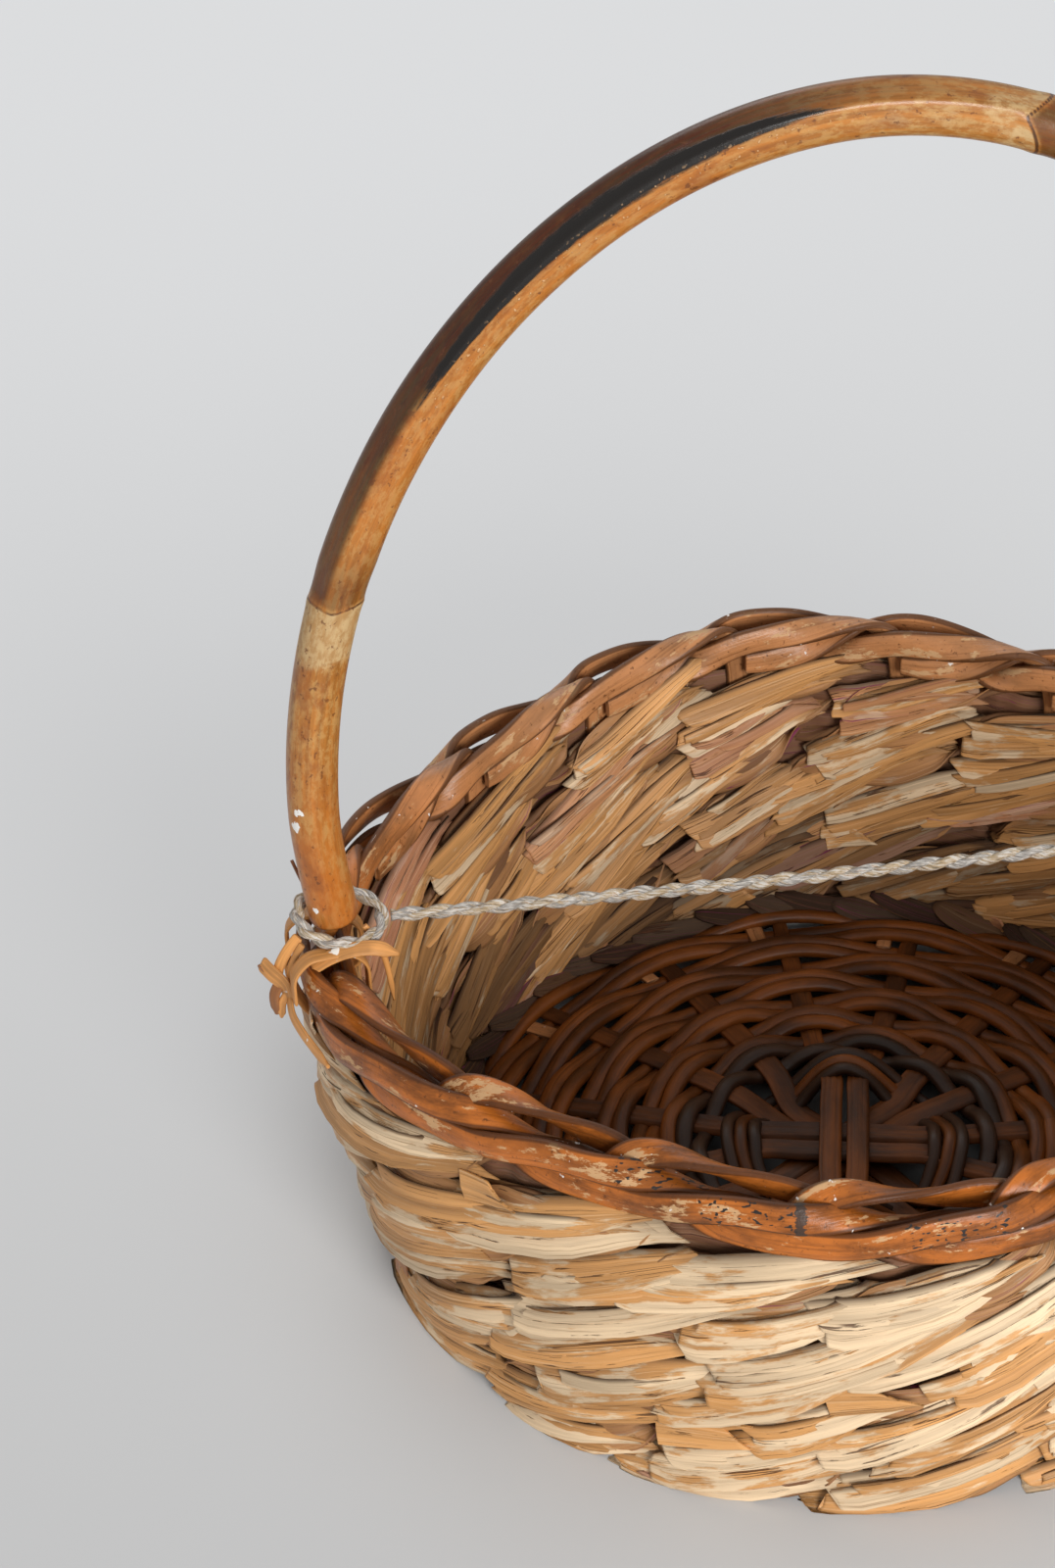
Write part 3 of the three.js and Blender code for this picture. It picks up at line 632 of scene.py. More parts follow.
def cane_material(looks):
    """Handle: glossy mottled bark, honey to red-brown, burnt black along the ridge, with pale joints."""
    recipe = Recipe("handle_cane", Specular_IOR_Level=0.26, Coat_Roughness=0.12)
    u, v = recipe.lengths()
    burn, red, pale, warm, bare, seam, paint = recipe.attributes(
        "burn", "red", "pale", "warm", "dots", "seam", "fleck")
    streak = recipe.noise(u * 14, v * 420, detail=5, roughness=0.66)
    cloud = recipe.noise(u * 38, v * 75, 3.0, detail=7, roughness=0.68)
    mottle = recipe.noise(u * 170, v * 300, 6.0, detail=6, roughness=0.7)
    spots = recipe.noise(u * 300, v * 380, 9.0, detail=4, roughness=0.65)
    dots = recipe.noise(u * 620, v * 620, 5.0, detail=1)
    blot = recipe.noise(u * 420, v * 420, 12.0, detail=3)
    ruddy = (red + (streak - 0.5) * red * 0.9 + (mottle - 0.5) * red * 0.8) * 0.95
    scorch = recipe.mix((streak + mottle * 0.3).step(0.52, 0.76), DARK_SCORCH, RED_SCORCH)
    cream = (pale + (cloud - 0.5) * pale * 1.6 + (mottle - 0.5) * pale * 1.3).step(0.30, 0.70)
    char = (burn + (streak - 0.5) * burn.step(0.02, 0.3) + (mottle - 0.5) * burn * 0.9).step(0.38, 0.62)
    dotted = dots.step(0.66, 0.70) * bare
    color = recipe.layers(
        recipe.shades(streak.step(0.3, 0.7), looks.cane_color, 0.66, 1.34),
        (mottle.step(0.44, 0.58) * 0.55, HONEY_CANE),
        (warm * cloud.step(0.30, 0.55) * 0.7, WARM_CANE),
        (cloud.step(0.50, 0.62) * 0.65, BROWN_CANE),
        (ruddy, scorch),
        (cream * 0.80, recipe.mix(mottle.step(0.4, 0.6), DARK_CREAM, PALE_CREAM)),
        ((spots + cloud * 0.35).step(0.78, 0.83) * 0.75, CANE_SPOT),
        (char, CHAR),
        (dotted * 0.8, BARE_DOT),
        ((seam + (mottle - 0.5) * seam).step(0.4, 0.8) * 0.9, JOINT_SEAM),
        ((paint + (blot - 0.5) * paint * 3.2).step(0.46, 0.56), PAINT_FLECK))
    recipe.set(Base_Color=color, Roughness=0.33 + cream * 0.16 + (spots - 0.5) * 0.2 - char * 0.05,
               Coat_Weight=0.16 - ruddy * 0.06 + char * 0.2 - cream * 0.1)
    recipe.bump(streak * 0.35 + cloud * 0.4 + char * 0.4 + dotted * 0.5 + mottle * 0.4, 0.35 * MM)
    return recipe.material


def wicker_material(name, color, gloss):
    """Wicker of the base: red-brown rods with streaks and hollows, and black ones by the dark value."""
    recipe = Recipe(name, Specular_IOR_Level=0.32)
    u, v = recipe.lengths()
    tone = recipe.attribute("tone")
    cloud = recipe.noise(u * 25, v * 60, tone * 29, detail=5, roughness=0.6)
    fibre = recipe.noise(u * 20, v * 900, tone * 13, detail=3, roughness=0.6)
    mixed = recipe.layers(
        recipe.shades(cloud.step(0.34, 0.68), color, 0.45, 1.9),
        (fibre.step(0.5, 0.3) * 0.5, shade(color, 0.35)),
        (recipe.attribute("dark"), BLACK_WICKER))
    recipe.set(Base_Color=mixed, Roughness=gloss + cloud * 0.2)
    recipe.bump(fibre * 0.4 + cloud * 0.5, 0.4 * MM)
    return recipe.material


def splint_material(looks):
    """Lashing strip: light orange with fine grain, browner at its ends, and white flecks."""
    recipe = Recipe("lashing_splint", Specular_IOR_Level=0.45)
    u, v = recipe.lengths()
    grain = recipe.noise(u * 40, v * 1400, detail=4, roughness=0.65)
    cloud = recipe.noise(u * 60, v * 160, 4.0, detail=4)
    white = recipe.noise(u * 150, v * 190, 8.0, detail=3).step(0.665, 0.70)
    color = recipe.layers(
        recipe.shades(grain.step(0.3, 0.7), looks.splint_color, 0.7, 1.2),
        (cloud.step(0.5, 0.68) * 0.5, shade(looks.splint_color, 0.42)),
        (recipe.attribute("dark"), SPLINT_END),
        (white, SPLINT_FLECK))
    recipe.set(Base_Color=color, Roughness=0.45 + white * 0.3)
    recipe.bump(grain * 0.6 + cloud * 0.4 + white * 0.4, 0.3 * MM)
    return recipe.material


def cord_material(looks):
    """Rough two-ply cord: grey, straw, white and orange fibres that follow each ply's own twist."""
    recipe = Recipe("tie_cord", Specular_IOR_Level=0.25, Roughness=0.85)
    u, v = recipe.lengths()
    ply = recipe.attribute("tone")
    along, beside = u - v * 0.9, v + u * 0.35
    fibre = recipe.noise(along * 130, beside * 1500, ply * 9, detail=5, roughness=0.75)
    cloud = recipe.noise(along * 100, beside * 620, ply * 17, detail=5, roughness=0.65)
    tuft = recipe.noise(along * 190, beside * 800, ply * 5 + 3, detail=3)
    color = recipe.layers(
        recipe.mix((ply * 0.16 + cloud).step(0.50, 0.64), looks.cord_color, STRAW_FIBRE),
        (tuft.step(0.56, 0.64) * 0.8, ORANGE_TUFT),
        (fibre.step(0.50, 0.34) * 0.8, shade(looks.cord_color, 0.22)),
        ((fibre + tuft * 0.3).step(0.62, 0.74) * 0.9, WHITE_FIBRE))
    recipe.set(Base_Color=color)
    recipe.bump(fibre + cloud * 0.6, 1.0 * MM)
    return recipe.material


def floor_material(looks):
    """Seamless paper floor: pale, faintly mottled, darker towards the front with painted light, and with a
    painted shadow under the object.

    Away from the object the camera sees a part of its colour as its own light, so that shadows
    stay faint there."""
    recipe = Recipe("floor", Roughness=0.9, Specular_IOR_Level=0.2)
    spot = recipe.node("ShaderNodeTexCoord", output=3)
    x, depth, _ = recipe.parts(spot)
    cloud = recipe.noise(x * 9, depth * 9, detail=3)
    distance = recipe.node("ShaderNodeVectorMath", {"operation": "LENGTH"}, spot, output=1)
    paper = recipe.shades(cloud.step(0.3, 0.7), looks.floor_color, 0.985, 1.01)
    # Painted light: the floor is darker at the front and lighter towards the back
    back = depth.step(*PAINTED_LIGHT_DEPTH)
    paper = recipe.mix(back, paper, shade(looks.floor_color, 1.26))
    # Painted shadow: the floor is dark under the basket
    under = distance.step(*PAINTED_SHADOW_RADII)
    recipe.set(Base_Color=recipe.mix(under, shade(looks.floor_color, 0.25), paper))
    glow = recipe.node("ShaderNodeEmission", None, Color=recipe.mix(back, NEAR_GLOW, FAR_GLOW))
    seen = recipe.node("ShaderNodeLightPath")
    blend = recipe.node("ShaderNodeMixShader", None, seen * distance.step(*ROUND_BASKET) * GLOW_SHARE)
    blend_inputs = blend.socket.node.inputs
    recipe.tree.links.new(recipe.shader.outputs[0], blend_inputs[1])
    recipe.tree.links.new(glow.socket, blend_inputs[2])
    recipe.tree.links.new(blend.socket, recipe.tree.nodes["Material Output"].inputs[0])
    return recipe.material


# Wall

# Radii that turn an angle round the wall into a length
WALL_RADIUS = 160 * MM
STROKE_RADIUS = 158 * MM

# Where the strands of a row cross, in stakes: the wander from row to row, and each crossing's own
CROSSING_WANDER = 0.24
CROSSING_SCATTER = 0.20

# Leaves near the floor: the height where they bend along it, how softly, and how far they sink
LOWEST_LEAF = 0.35 * MM
FLOOR_BEND = 0.6 * MM
FLOOR_SINK = 0.2 * MM

# Share of its row that a strand's thick core fills, and the core's thickness
CORE_SHARE = 0.86
CORE_THICKNESS = 3.0 * MM
LEAF_WRAP = 7 * MM

# How far the leaves of a stroke stand off the strand, and how far the start and the end go in
STROKE_LIFT = 1.7 * MM
START_TUCK = 1.6 * MM
END_TUCK = 3.9 * MM
EDGE_ROLL = 0.3 * MM
WAVER = 0.25 * MM
OUTER_TILT = 0.40
INNER_TILT = 0.28

# Places of a leaf's points, across it and along it. The close pairs keep its edges sharp.
LEAF_ACROSS = np.array([-1.0, -0.95, -0.5, 0.0, 0.5, 0.95, 1.0])
LEAF_ALONG = np.array([0.0, 0.012, 0.08, 0.18, 0.29, 0.40, 0.51, 0.62, 0.73, 0.83, 0.92, 1.0])

# How much of the full slope the strokes of each row have, and how often an inner stroke of each
# row is darkened, most often in the lowest rows; both from the lowest row up
ROW_SLOPES = (0.50, 0.80, 1.0, 1.0, 1.0, 0.90, 0.70)
LOW_DARKENING_ODDS = (0.95, 0.8, 0.5, 0.2, 0.0, 0.0, 0.0)

# The leaves of a stroke, outside and inside, from below: width in rows, how far up it may lie,
# how far it stands off in millimetres, and how far it may start early and end late, in stakes
OUTER_LEAVES = ((1.02, (-0.02, 0.02), 0.0, 0.12, 0.20), (0.72, (0.02, 0.26), 0.9, 0.06, 0.14),
                (0.40, (-0.34, -0.05), 1.3, 0.10, 0.10), (0.26, (-0.1, 0.2), 1.9, 0.0, 0.0))
INNER_LEAVES = ((0.92, (-0.05, 0.05), -0.6, 0.06, 0.12), (0.52, (0.10, 0.36), 0.3, 0.10, 0.10),
                (0.42, (-0.40, -0.12), 0.7, 0.05, 0.15), (0.28, (-0.2, 0.2), 1.3, 0.0, 0.05),
                (0.20, (-0.4, 0.4), 1.6, 0.0, 0.0))
LOOSE_LEAVES = 5
FOOT_LEAVES = 44


def strand_phase(angle):
    """Position round the wall in stakes: whole at a stake, half at a crossing.

    Beside the handle's tongue the strand stays out from the tongue to the stake."""
    places, phases = [], []
    for k in range(-1, STAKES + 1):
        tongue_angle = STAKE_ANGLE if k % (STAKES // 2) == 0 else 0
        places += [stake_angle(k) - tongue_angle - 1e-4, stake_angle(k)]
        phases += [k, k]
    return np.interp(angle, places, phases)


def per_stroke(phase, values):
    """Each stroke's own value, changing from one to the next where the strands cross."""
    before = np.floor(phase).astype(int)
    share = smoothstep(0.40, 0.60, phase - before)
    return values[before % STAKES] * (1 - share) + values[(before + 1) % STAKES] * share


def rng_for(looks, *numbers):
    """A random source of its own for each piece, the same in every run."""
    return np.random.default_rng([looks.seed, *numbers])


def crossings(looks, row):
    """How far before the half-way point each crossing of the row lies, in stakes."""
    wander = CROSSING_WANDER * math.sin(2.4 * row + 0.6)
    return wander + rng_for(looks, row, 88).uniform(-CROSSING_SCATTER, CROSSING_SCATTER, STAKES)


def above_floor(heights):
    """Heights that would pass through the floor are bent along it by a soft maximum."""
    bent = np.logaddexp(0, (heights - LOWEST_LEAF) / FLOOR_BEND) * FLOOR_BEND
    return LOWEST_LEAF + bent - FLOOR_SINK


class Strand:
    """One leaf strand of a twined row: where its middle runs and how it turns over.

    With p the position in stakes, the strand winds as a squarish helix: its distance out follows
    cos(pi p), its height swings with sin(pi p), and its face turns with pi p, held back near the
    stakes so that each stroke lies flat on the wall. Each crossing is shifted along the row."""

    STEPS = 24

    def __init__(self, looks, row, ply):
        self.looks, self.row = looks, row
        count = STAKES * self.STEPS
        self.angle = stake_angle(0) + (np.arange(count) / self.STEPS - 0.5) * PERIOD
        self.phase = strand_phase(self.angle)
        before = np.floor(self.phase).astype(int)
        shift = crossings(looks, row)[before % STAKES] * np.sin(math.pi * (self.phase - before)) ** 2
        self.turn = math.pi * (self.phase + shift + ply)
        self.length = np.arange(count + 1) / self.STEPS * PERIOD * WALL_RADIUS
        self.length = self.length + rng_for(looks, row, ply, 99).uniform(0, 3)

    def add(self, skin, outs, rows_up, rise, wrap, **tones):
        """Adds a closed band from its distances out and its heights, in rows plus metres."""
        heights = wall_top(self.angle)[:, None] * rows_up / WALL_ROWS + rise
        grid = wall_point(self.angle[:, None], above_floor(heights), outs)
        skin.add(grid, self.length, wrap, closed=True, **tones)

    def ribbon(self, skin, rng, share, lift, thickness, sides=9, **tones):
        """Adds a closed ribbon of the strand: its folded core, or the leaf that is wrapped on it.

        share is its height in rows and lift its distance from the strand's middle."""
        turn = self.turn

        def random(spread):
            return per_stroke(self.phase, rng.uniform(-spread, spread, STAKES))

        flat = np.abs(np.cos(turn))
        row_height = wall_top(self.angle) / WALL_ROWS
        width = row_height * share * (0.72 + 0.28 * flat**0.6) * (1 + random(0.12))
        out = self.looks.strand_reach * rounded(np.cos(turn), 0.8) * (1 + random(0.08))
        middle = self.row + 0.5 + 0.42 * np.sin(turn) + random(0.08) * np.cos(turn)
        once = turn - 0.5 * np.sin(2 * turn)
        tilt = once - 0.25 * np.sin(2 * once) + (0.16 + random(0.12)) * np.cos(turn)
        v = np.linspace(-1, 1, sides)
        crease = rng.uniform(-0.6, 0.6) + 0.2 * waves(self.phase / STAKES, rng, 3, 5)
        fold = random(0.9)[:, None] * MM * np.maximum(0, 1 - np.abs(v - crease[:, None]) / 0.35)
        front = lift - 0.6 * MM * v**2 + fold
        half = thickness / 2 * (1 - 0.5 * np.abs(v) ** 6)
        deep = np.concatenate([front + half, (front - half)[:, ::-1]], 1)
        across = there_and_back(v) * width[:, None] / 2
        normal = np.stack([np.cos(tilt), np.sin(tilt)])[..., None]
        self.add(skin, out[:, None] + deep * normal[0] - across * normal[1], middle[:, None],
                 deep * normal[1] + across * normal[0], closed_row(there_and_back(v)) * LEAF_WRAP + share,
                 **tones)

    def heart(self, skin, rng):
        """Adds the leaves between the two strands, as one thin upright strip that wavers, painted dark as
        shade between the strands.
        """
        across = there_and_back(np.array([-1.0, -0.4, 0.4, 1.0])) * 0.58
        sway = 1.2 * MM * waves(self.phase / STAKES, rng, 4, 30)[:, None] + 1.2 * MM * across
        self.add(skin, sway + np.repeat([0.4, -0.4], 4) * MM, self.row + 0.5 + across, 0.0,
                 closed_row(across) * 2 * LEAF_WRAP, tone=0.8, pink=0.9, dark=0.70, hue=0.3)


def stroke_leaf(looks, skin, rng, row, k, side, leaf, turn, **tones):
    """Adds one flat leaf of the stroke at stake k, on the outer side of the wall or the inner one.

    With t from 0 to 1 along it and v from -1 to 1 across it, it climbs straight from one crossing
    past the next. It stands out by reach - a (1 - t)^5 - b t^3, so that its round start lies over
    the end of the stroke before and its own pointed end is tucked in. Its lower edge stands off,
    pleats run along it, and it carries painted shade where the next leaves cover it."""
    width, shift, lift, starts, ends, dark = leaf
    t = LEAF_ALONG[:, None]
    v = there_and_back(LEAF_ACROSS)[None]
    face = np.repeat([1.0, -1.0], len(LEAF_ACROSS))[None]
    shifts = crossings(looks, row) * side
    before, after = shifts[(k - 1) % STAKES], shifts[k % STAKES]
    if side < 0:
        before, after = after, before
    first = -0.5 - before - starts
    last = 0.5 - after + ends
    run = first + (last - first) * t
    slope = looks.stroke_slope * ROW_SLOPES[row] * (1 + rng.uniform(-turn, turn))
    row_height = wall_top(0.0) / WALL_ROWS
    pitch = PERIOD * STROKE_RADIUS
    lean = slope * row_height / pitch
    grow = np.sqrt(smoothstep(-0.12, 0.07, t)) * (1 - 0.55 * smoothstep(0.55, 1.0, t))
    grow = grow * (1 + 0.05 * waves(t, rng, 3, 1.5))
    across = v * grow * width * row_height / 2
    bend = 0.10 * np.sin(math.pi * t) * rng.uniform(-1, 1)
    climb = slope * (run - (first + last) / 4) * (1 - 0.12 * (2 * t - 1) ** 2) + bend
    out = (looks.strand_reach + STROKE_LIFT) * (1 + rng.uniform(-0.08, 0.08)) + lift
    out = out - START_TUCK * (1 - t) ** 5 - END_TUCK * t**3
    deep = face * looks.leaf_thickness / 2 - EDGE_ROLL * v**2
    for column in rng.choice(LEAF_ACROSS[2:-2], 2, replace=False):
        pleat = np.maximum(0, 1 - np.abs(v - column) / 0.30)
        deep = deep + rng.uniform(-1.0, 1.0) * MM * pleat * (0.6 + 0.4 * np.cos(3 * t + column * 9))
    deep = deep + WAVER * waves(t + 0.15 * v * rng.uniform(-1, 1), rng, 3, 2)
    tilt = (OUTER_TILT if side > 0 else INNER_TILT) + rng.uniform(-0.14, 0.18)
    tilt = tilt + 0.30 * (1 - t) ** 4 - 0.15 * t**3
    ragged = 1 + 0.3 * np.sin(v * rng.uniform(5, 11) + rng.uniform(0, 6))
    cut = rng.uniform(-0.5, 0.5) * (1 - t) ** 5 + rng.uniform(-1.2, 0.2) * t**6
    places = run + (cut * v * ragged * LEAF_WRAP - across * lean) / pitch
    angle = stake_angle(k) + side * places * PERIOD
    level = wall_top(angle) * (row + 0.5 + shift + climb) / WALL_ROWS
    heights = level + deep * np.sin(tilt) + across * np.cos(tilt)
    outs = side * (out + deep * np.cos(tilt) - across * np.sin(tilt))
    grid = wall_point(angle, above_floor(heights), outs)
    along = t[:, 0] * (last - first) * pitch + rng.uniform(0, 3)
    # Painted shade: darker along the upper edge and the end, where the next leaves cover it
    painted_overlap_shade = 0.75 * smoothstep(0.5, 1.0, v) + 0.35 * smoothstep(0.80, 1.0, t)
    skin.add(grid, along, closed_row(v[0]) * width * 7.5 * MM + rng.uniform(0, 0.5),
             dark=np.clip(dark + painted_overlap_shade, 0, 0.97), **tones)


def stroke(looks, skin, row, k, side):
    """Adds the leaves of one stroke: a wide one and narrower ones over it."""
    rng = rng_for(looks, row, k, side + 1, 5)
    outer = side > 0
    pink_odds = (0.15 if 2 <= row <= 4 else 0.05) if outer else 0.25
    pink = rng.uniform(0.5, 1.0) if rng.random() < pink_odds else 0.0
    darkened_low = rng.random() < LOW_DARKENING_ODDS[row] and not outer
    darkness = (0.35, 0.97 - 0.16 * row) if darkened_low else (0.0, 0.08 if outer else 0.2)
    opening = rng.uniform(0.12, 0.28) if rng.random() < 0.28 else 0.0
    # Painted shade: toward -X, the side away from the window lamp, the strokes get more tan skin
    brown = (0.12 if outer else 0.22) * smoothstep(0.0, 0.8, -math.cos(stake_angle(k)))
    for width, heights, lift, starts, ends in OUTER_LEAVES if outer else INNER_LEAVES:
        starts = starts + rng.uniform(-0.12, 0.06)
        ends = ends + rng.uniform(-0.16, 0.06) - opening
        width = width * looks.leaf_overlap * rng.uniform(0.82, 1.12)
        tone = (rng.beta(1.0, 2.0) if outer else rng.beta(2.0, 1.2)) + brown
        shift, hue = rng.uniform(*heights), rng.random()
        tint = pink * (rng.random() < 0.6)
        leaf = (width, shift, lift * MM, starts, ends, rng.uniform(*darkness))
        stroke_leaf(looks, skin, rng, row, k, side, leaf, 0.14 if outer else 0.35, tone=tone, hue=hue,
                    pink=tint)


def creased_leaf(fold, steepness, half):
    """Depths of a leaf's two faces in metres, creased like a roof along the place of the fold."""
    roof = steepness * np.abs(LEAF_ACROSS - fold)
    return np.concatenate([half - roof, -half - roof[::-1]]) * MM


def loose_leaf(skin, rng, angle, height, out, side):
    """A leaf's cut end, which leaves the wall with a curl: a tapering strip with a slanted tip.

    The strip runs along t from 0 to 1: it climbs at its lean, and stands off the wall with t
    squared."""
    t = LEAF_ALONG
    v = there_and_back(LEAF_ACROSS)
    length, width = rng.uniform(14, 30) * MM, rng.uniform(6, 12) * MM
    lean = rng.uniform(0.15, 0.6)
    run = angle + t * length * math.cos(lean) / WALL_RADIUS * side
    rise = height + t * length * math.sin(lean)
    path = wall_point(run, rise, out + side * (rng.uniform(0.3, 3.5) * MM * t**2))
    face = wall_normal(run, rise) * side + UP * rng.uniform(-0.2, 0.4)
    taper = (1 - 0.25 * t - 0.7 * smoothstep(0.70, 1.0, t) * rng.random())[:, None]
    grid = sweep(path, face, v * width / 2 * taper, creased_leaf(rng.uniform(-0.6, 0.6), 0.8, 0.35))
    slanted = v * rng.uniform(-0.6, 0.6) * width
    grid += unit(np.gradient(path, axis=0))[:, None] * (slanted * t[:, None] ** 4)[..., None]
    skin.add(grid, t * length, closed_row(v) * width / 2, tone=rng.random(),
             pink=float(rng.random() < 0.12) * 0.7, dark=0.0, hue=rng.random())


def wall_strand(looks, material, row, ply):
    """A strand: a thick folded core, the leaf wrapped round it, and the leaves of each stroke."""
    rng = rng_for(looks, row, ply)
    strand = Strand(looks, row, ply)
    skin = Skin()
    # The core and the leaf wrapped on it are painted dark: painted shade in the gaps between the strokes
    strand.ribbon(skin, rng, CORE_SHARE, -0.6 * MM, CORE_THICKNESS, 7, tone=0.9, pink=0.5, dark=0.72,
                  hue=rng.random())
    strand.ribbon(skin, rng, 1.0, 1.0 * MM, looks.leaf_thickness, tone=0.80, pink=0.25, dark=0.35,
                  hue=rng.random())
    if ply == 0:
        strand.heart(skin, rng)
    for k in range(STAKES):
        stroke(looks, skin, row, k, 1 if (k + ply) % 2 == 0 else -1)
    for _ in range(LOOSE_LEAVES):
        angle = stake_angle(rng.integers(STAKES)) + rng.uniform(-0.2, 0.5) * PERIOD
        side = 1 if rng.random() < 0.65 else -1
        height = wall_top(angle) * (row + rng.uniform(0.15, 0.7)) / WALL_ROWS
        loose_leaf(skin, rng, angle, max(height, 5 * MM), side * rng.uniform(7.0, 9.0) * MM, side)
    name = f"wall_row_{row + 1}_strand_{'ab'[ply]}"
    skin.piece(f"leaves_{name}", material, "leaf_strand", name)


def foot_leaves(looks, material):
    """Dark twisted leaves in the corner between the wall and the base, each laid over the last.

    With t along a leaf, it climbs from the base, leans in by a sine and turns its face up."""
    rng = rng_for(looks, 30)
    skin = Skin()
    t = LEAF_ALONG
    v = there_and_back(LEAF_ACROSS)
    for i in range(FOOT_LEAVES):
        run = (i + rng.uniform(-0.3, 0.3)) * TURN / FOOT_LEAVES + t * rng.uniform(0.20, 0.30)
        height = (4.5 + rng.uniform(0, 2) + rng.uniform(5, 9) * t) * MM
        lean = -(9.0 + rng.uniform(0, 2.5) + 3.0 * np.sin(math.pi * t)) * MM
        path = wall_point(run, height, lean)
        face = facing(-wall_normal(run, height), rng.uniform(0.3, 0.8) + 0.6 * t)
        half = rng.uniform(3.4, 5.2) * MM * (1 - 0.6 * np.abs(2 * t - 1) ** 4)
        grid = sweep(path, face, v * half[:, None], creased_leaf(rng.uniform(-0.5, 0.5), 0.9, 0.4))
        skin.add(grid, t * 30 * MM + rng.uniform(0, 2), closed_row(v) * 4 * MM, tone=rng.random(),
                 pink=0.3, dark=rng.choice([0.86, 0.95, 0.99]), hue=rng.random())
    skin.piece("leaves_foot", material, "leaf_strand")


# Border

# How many stakes the rod's end has passed, how far it lies out from the border's middle in
# slots, how far up in rod widths, and the way its bark looks, in degrees from outward to up
BORDER_PATH = np.array([
    [0.00, 0.00, -1.12, 0],
    [0.01, 0.00, -0.38, 0],
    [0.05, 0.00, 0.38, 0],
    [0.13, -0.05, 1.00, 12],
    [0.25, -0.51, 1.16, 74],
    [0.50, -0.87, 0.95, 115],
    [0.75, -0.98, 0.60, 165],
    [1.10, -1.05, 0.48, 180],
    [1.29, -0.84, -0.33, 145],
    [1.46, -0.11, -0.86, 90],
    [1.72, 1.07, -0.68, 10],
    [2.10, 1.05, -0.68, 0],
    [2.42, 1.42, -0.25, 0],
    [2.72, 1.33, 0.52, 12],
    [3.13, 1.22, 0.54, 20],
    [3.29, 0.40, 0.58, 78],
    [3.44, -0.18, 0.15, 98],
    [3.58, -0.65, -0.38, 140],
    [3.75, -0.98, -0.65, 180],
    [4.05, -0.98, -0.68, 180],
])
PATH_WIDTH = 8 * MM

# The stake below the border: the height of its underside, and rows of share of the rim's height.
# Then the shares of full width and thickness in its tail and at its tip.
STAKE_LOW = 1.9 * MM
UPRIGHT_SHARES = (0.11, 0.4, 0.7)
TAIL_TURNS = (-90, -90, -85, -45, 0, 0, 0)
TAIL_WIDTHS = (0.6, 0.7, 0.7, 0.85)
TAIL_DEPTHS = (0.6, 0.65, 0.65, 0.65)
TIP_WIDTH = 0.72
TIP_DEPTH = 0.45

# How far the border's rods are smoothed, in steps of their path, and where painted light makes their bark
# lighter towards the back
ROD_SMOOTHING = 15
BACK_LIGHT_START = -10 * MM
BACK_LIGHT_END = 110 * MM

# The width that a rod's pattern is drawn over
PATTERN_WIDTH = 9 * MM


def stake_stations(k):
    """The stake's stations as rows of point, face, width share and thickness share."""
    angle = stake_angle(k)
    tail_radii = np.array([BASE_RADIUS - TAIL_LENGTH, BASE_RADIUS - 2 * MM, BASE_RADIUS + 5 * MM])
    tail_heights = np.array([*base_height(tail_radii[:2]), STAKE_LOW + 0.6 * MM])
    tail = base_point(np.full(3, angle), tail_radii, tail_heights)
    heel = wall_point(angle, STAKE_LOW + 2.2 * MM, -1.5 * MM)[None]
    upright = wall_point(np.full(3, angle), np.array(UPRIGHT_SHARES) * RIM_HEIGHT, 0.0)
    passed, out, rise, degrees = BORDER_PATH.T
    here = angle + passed * PERIOD
    border = wall_point(here, rim_height(here), out * SLOT) + UP * (rise * PATH_WIDTH)[:, None]
    points = np.concatenate([tail, heel, upright, border])
    at = np.concatenate([np.full(len(TAIL_TURNS), angle), here])
    faces = facing(wall_normal(at, points[:, 2]), np.radians([*TAIL_TURNS, *degrees]))
    full = [1.0] * (len(points) - len(TAIL_WIDTHS) - 1)
    shares = np.array([[*TAIL_WIDTHS, *full, TIP_WIDTH], [*TAIL_DEPTHS, *full, TIP_DEPTH]])
    return np.concatenate([points, faces, shares.T], 1)


def border_rod(looks, material, k):
    """A split rod along the stake's path, with slow changes of width and a node ring."""
    rng = rng_for(looks, 50, k)
    path = relax(even_path(smooth_path(stake_stations(k), 900), 300), ROD_SMOOTHING)
    points, faces = path[:, :3], path[:, 3:6]
    length = arc_length(points)
    share = length / length[-1]
    width = looks.rod_width * path[:, 6] * (1 + 0.06 * waves(share, rng, 3, 3))
    thickness = looks.rod_thickness * path[:, 7] * (1 + 0.07 * waves(share, rng, 3, 4))
    place = rng.uniform(0.5, 0.95)
    past = (share - place) * length[-1]
    node = bell(past, 2.0 * MM)
    swell = (1 + 0.05 * node)[:, None]
    marked = 1.0 if rng.random() < 0.3 else 0.2
    specks = smoothstep(-34 * MM, -26 * MM, past) * (share < place)
    across, deep = split_rod(24)
    twist = 0.7 * MM * waves(share, rng, 3, 6)[:, None] * across
    ridges = 0.10 * MM * np.sin(across * 34 + rng.uniform(0, 6)) * (deep > 0)
    grid = sweep(points, faces, across * width[:, None] * swell,
                 deep * thickness[:, None] * swell + twist + ridges)
    rim = np.broadcast_to(smoothstep(0.36, 0.5, np.abs(across)), grid.shape[:2])
    crest = np.broadcast_to(smoothstep(0.1, 0.45, deep), grid.shape[:2])
    skin = Skin()
    around = closed_row(across + (deep < 0)) * PATTERN_WIDTH
    skin.add(grid, length + rng.uniform(0, 2), around, tone=rng.random(), node=node * marked,
             rim=rim, crest=crest, specks=specks * (rng.random() < 0.35),
             faded=smoothstep(BACK_LIGHT_START, BACK_LIGHT_END, points[:, 1]))
    skin.piece(f"rod_stake_{k + 1}", material, "border_rod", f"stake_{k + 1}")


# Base

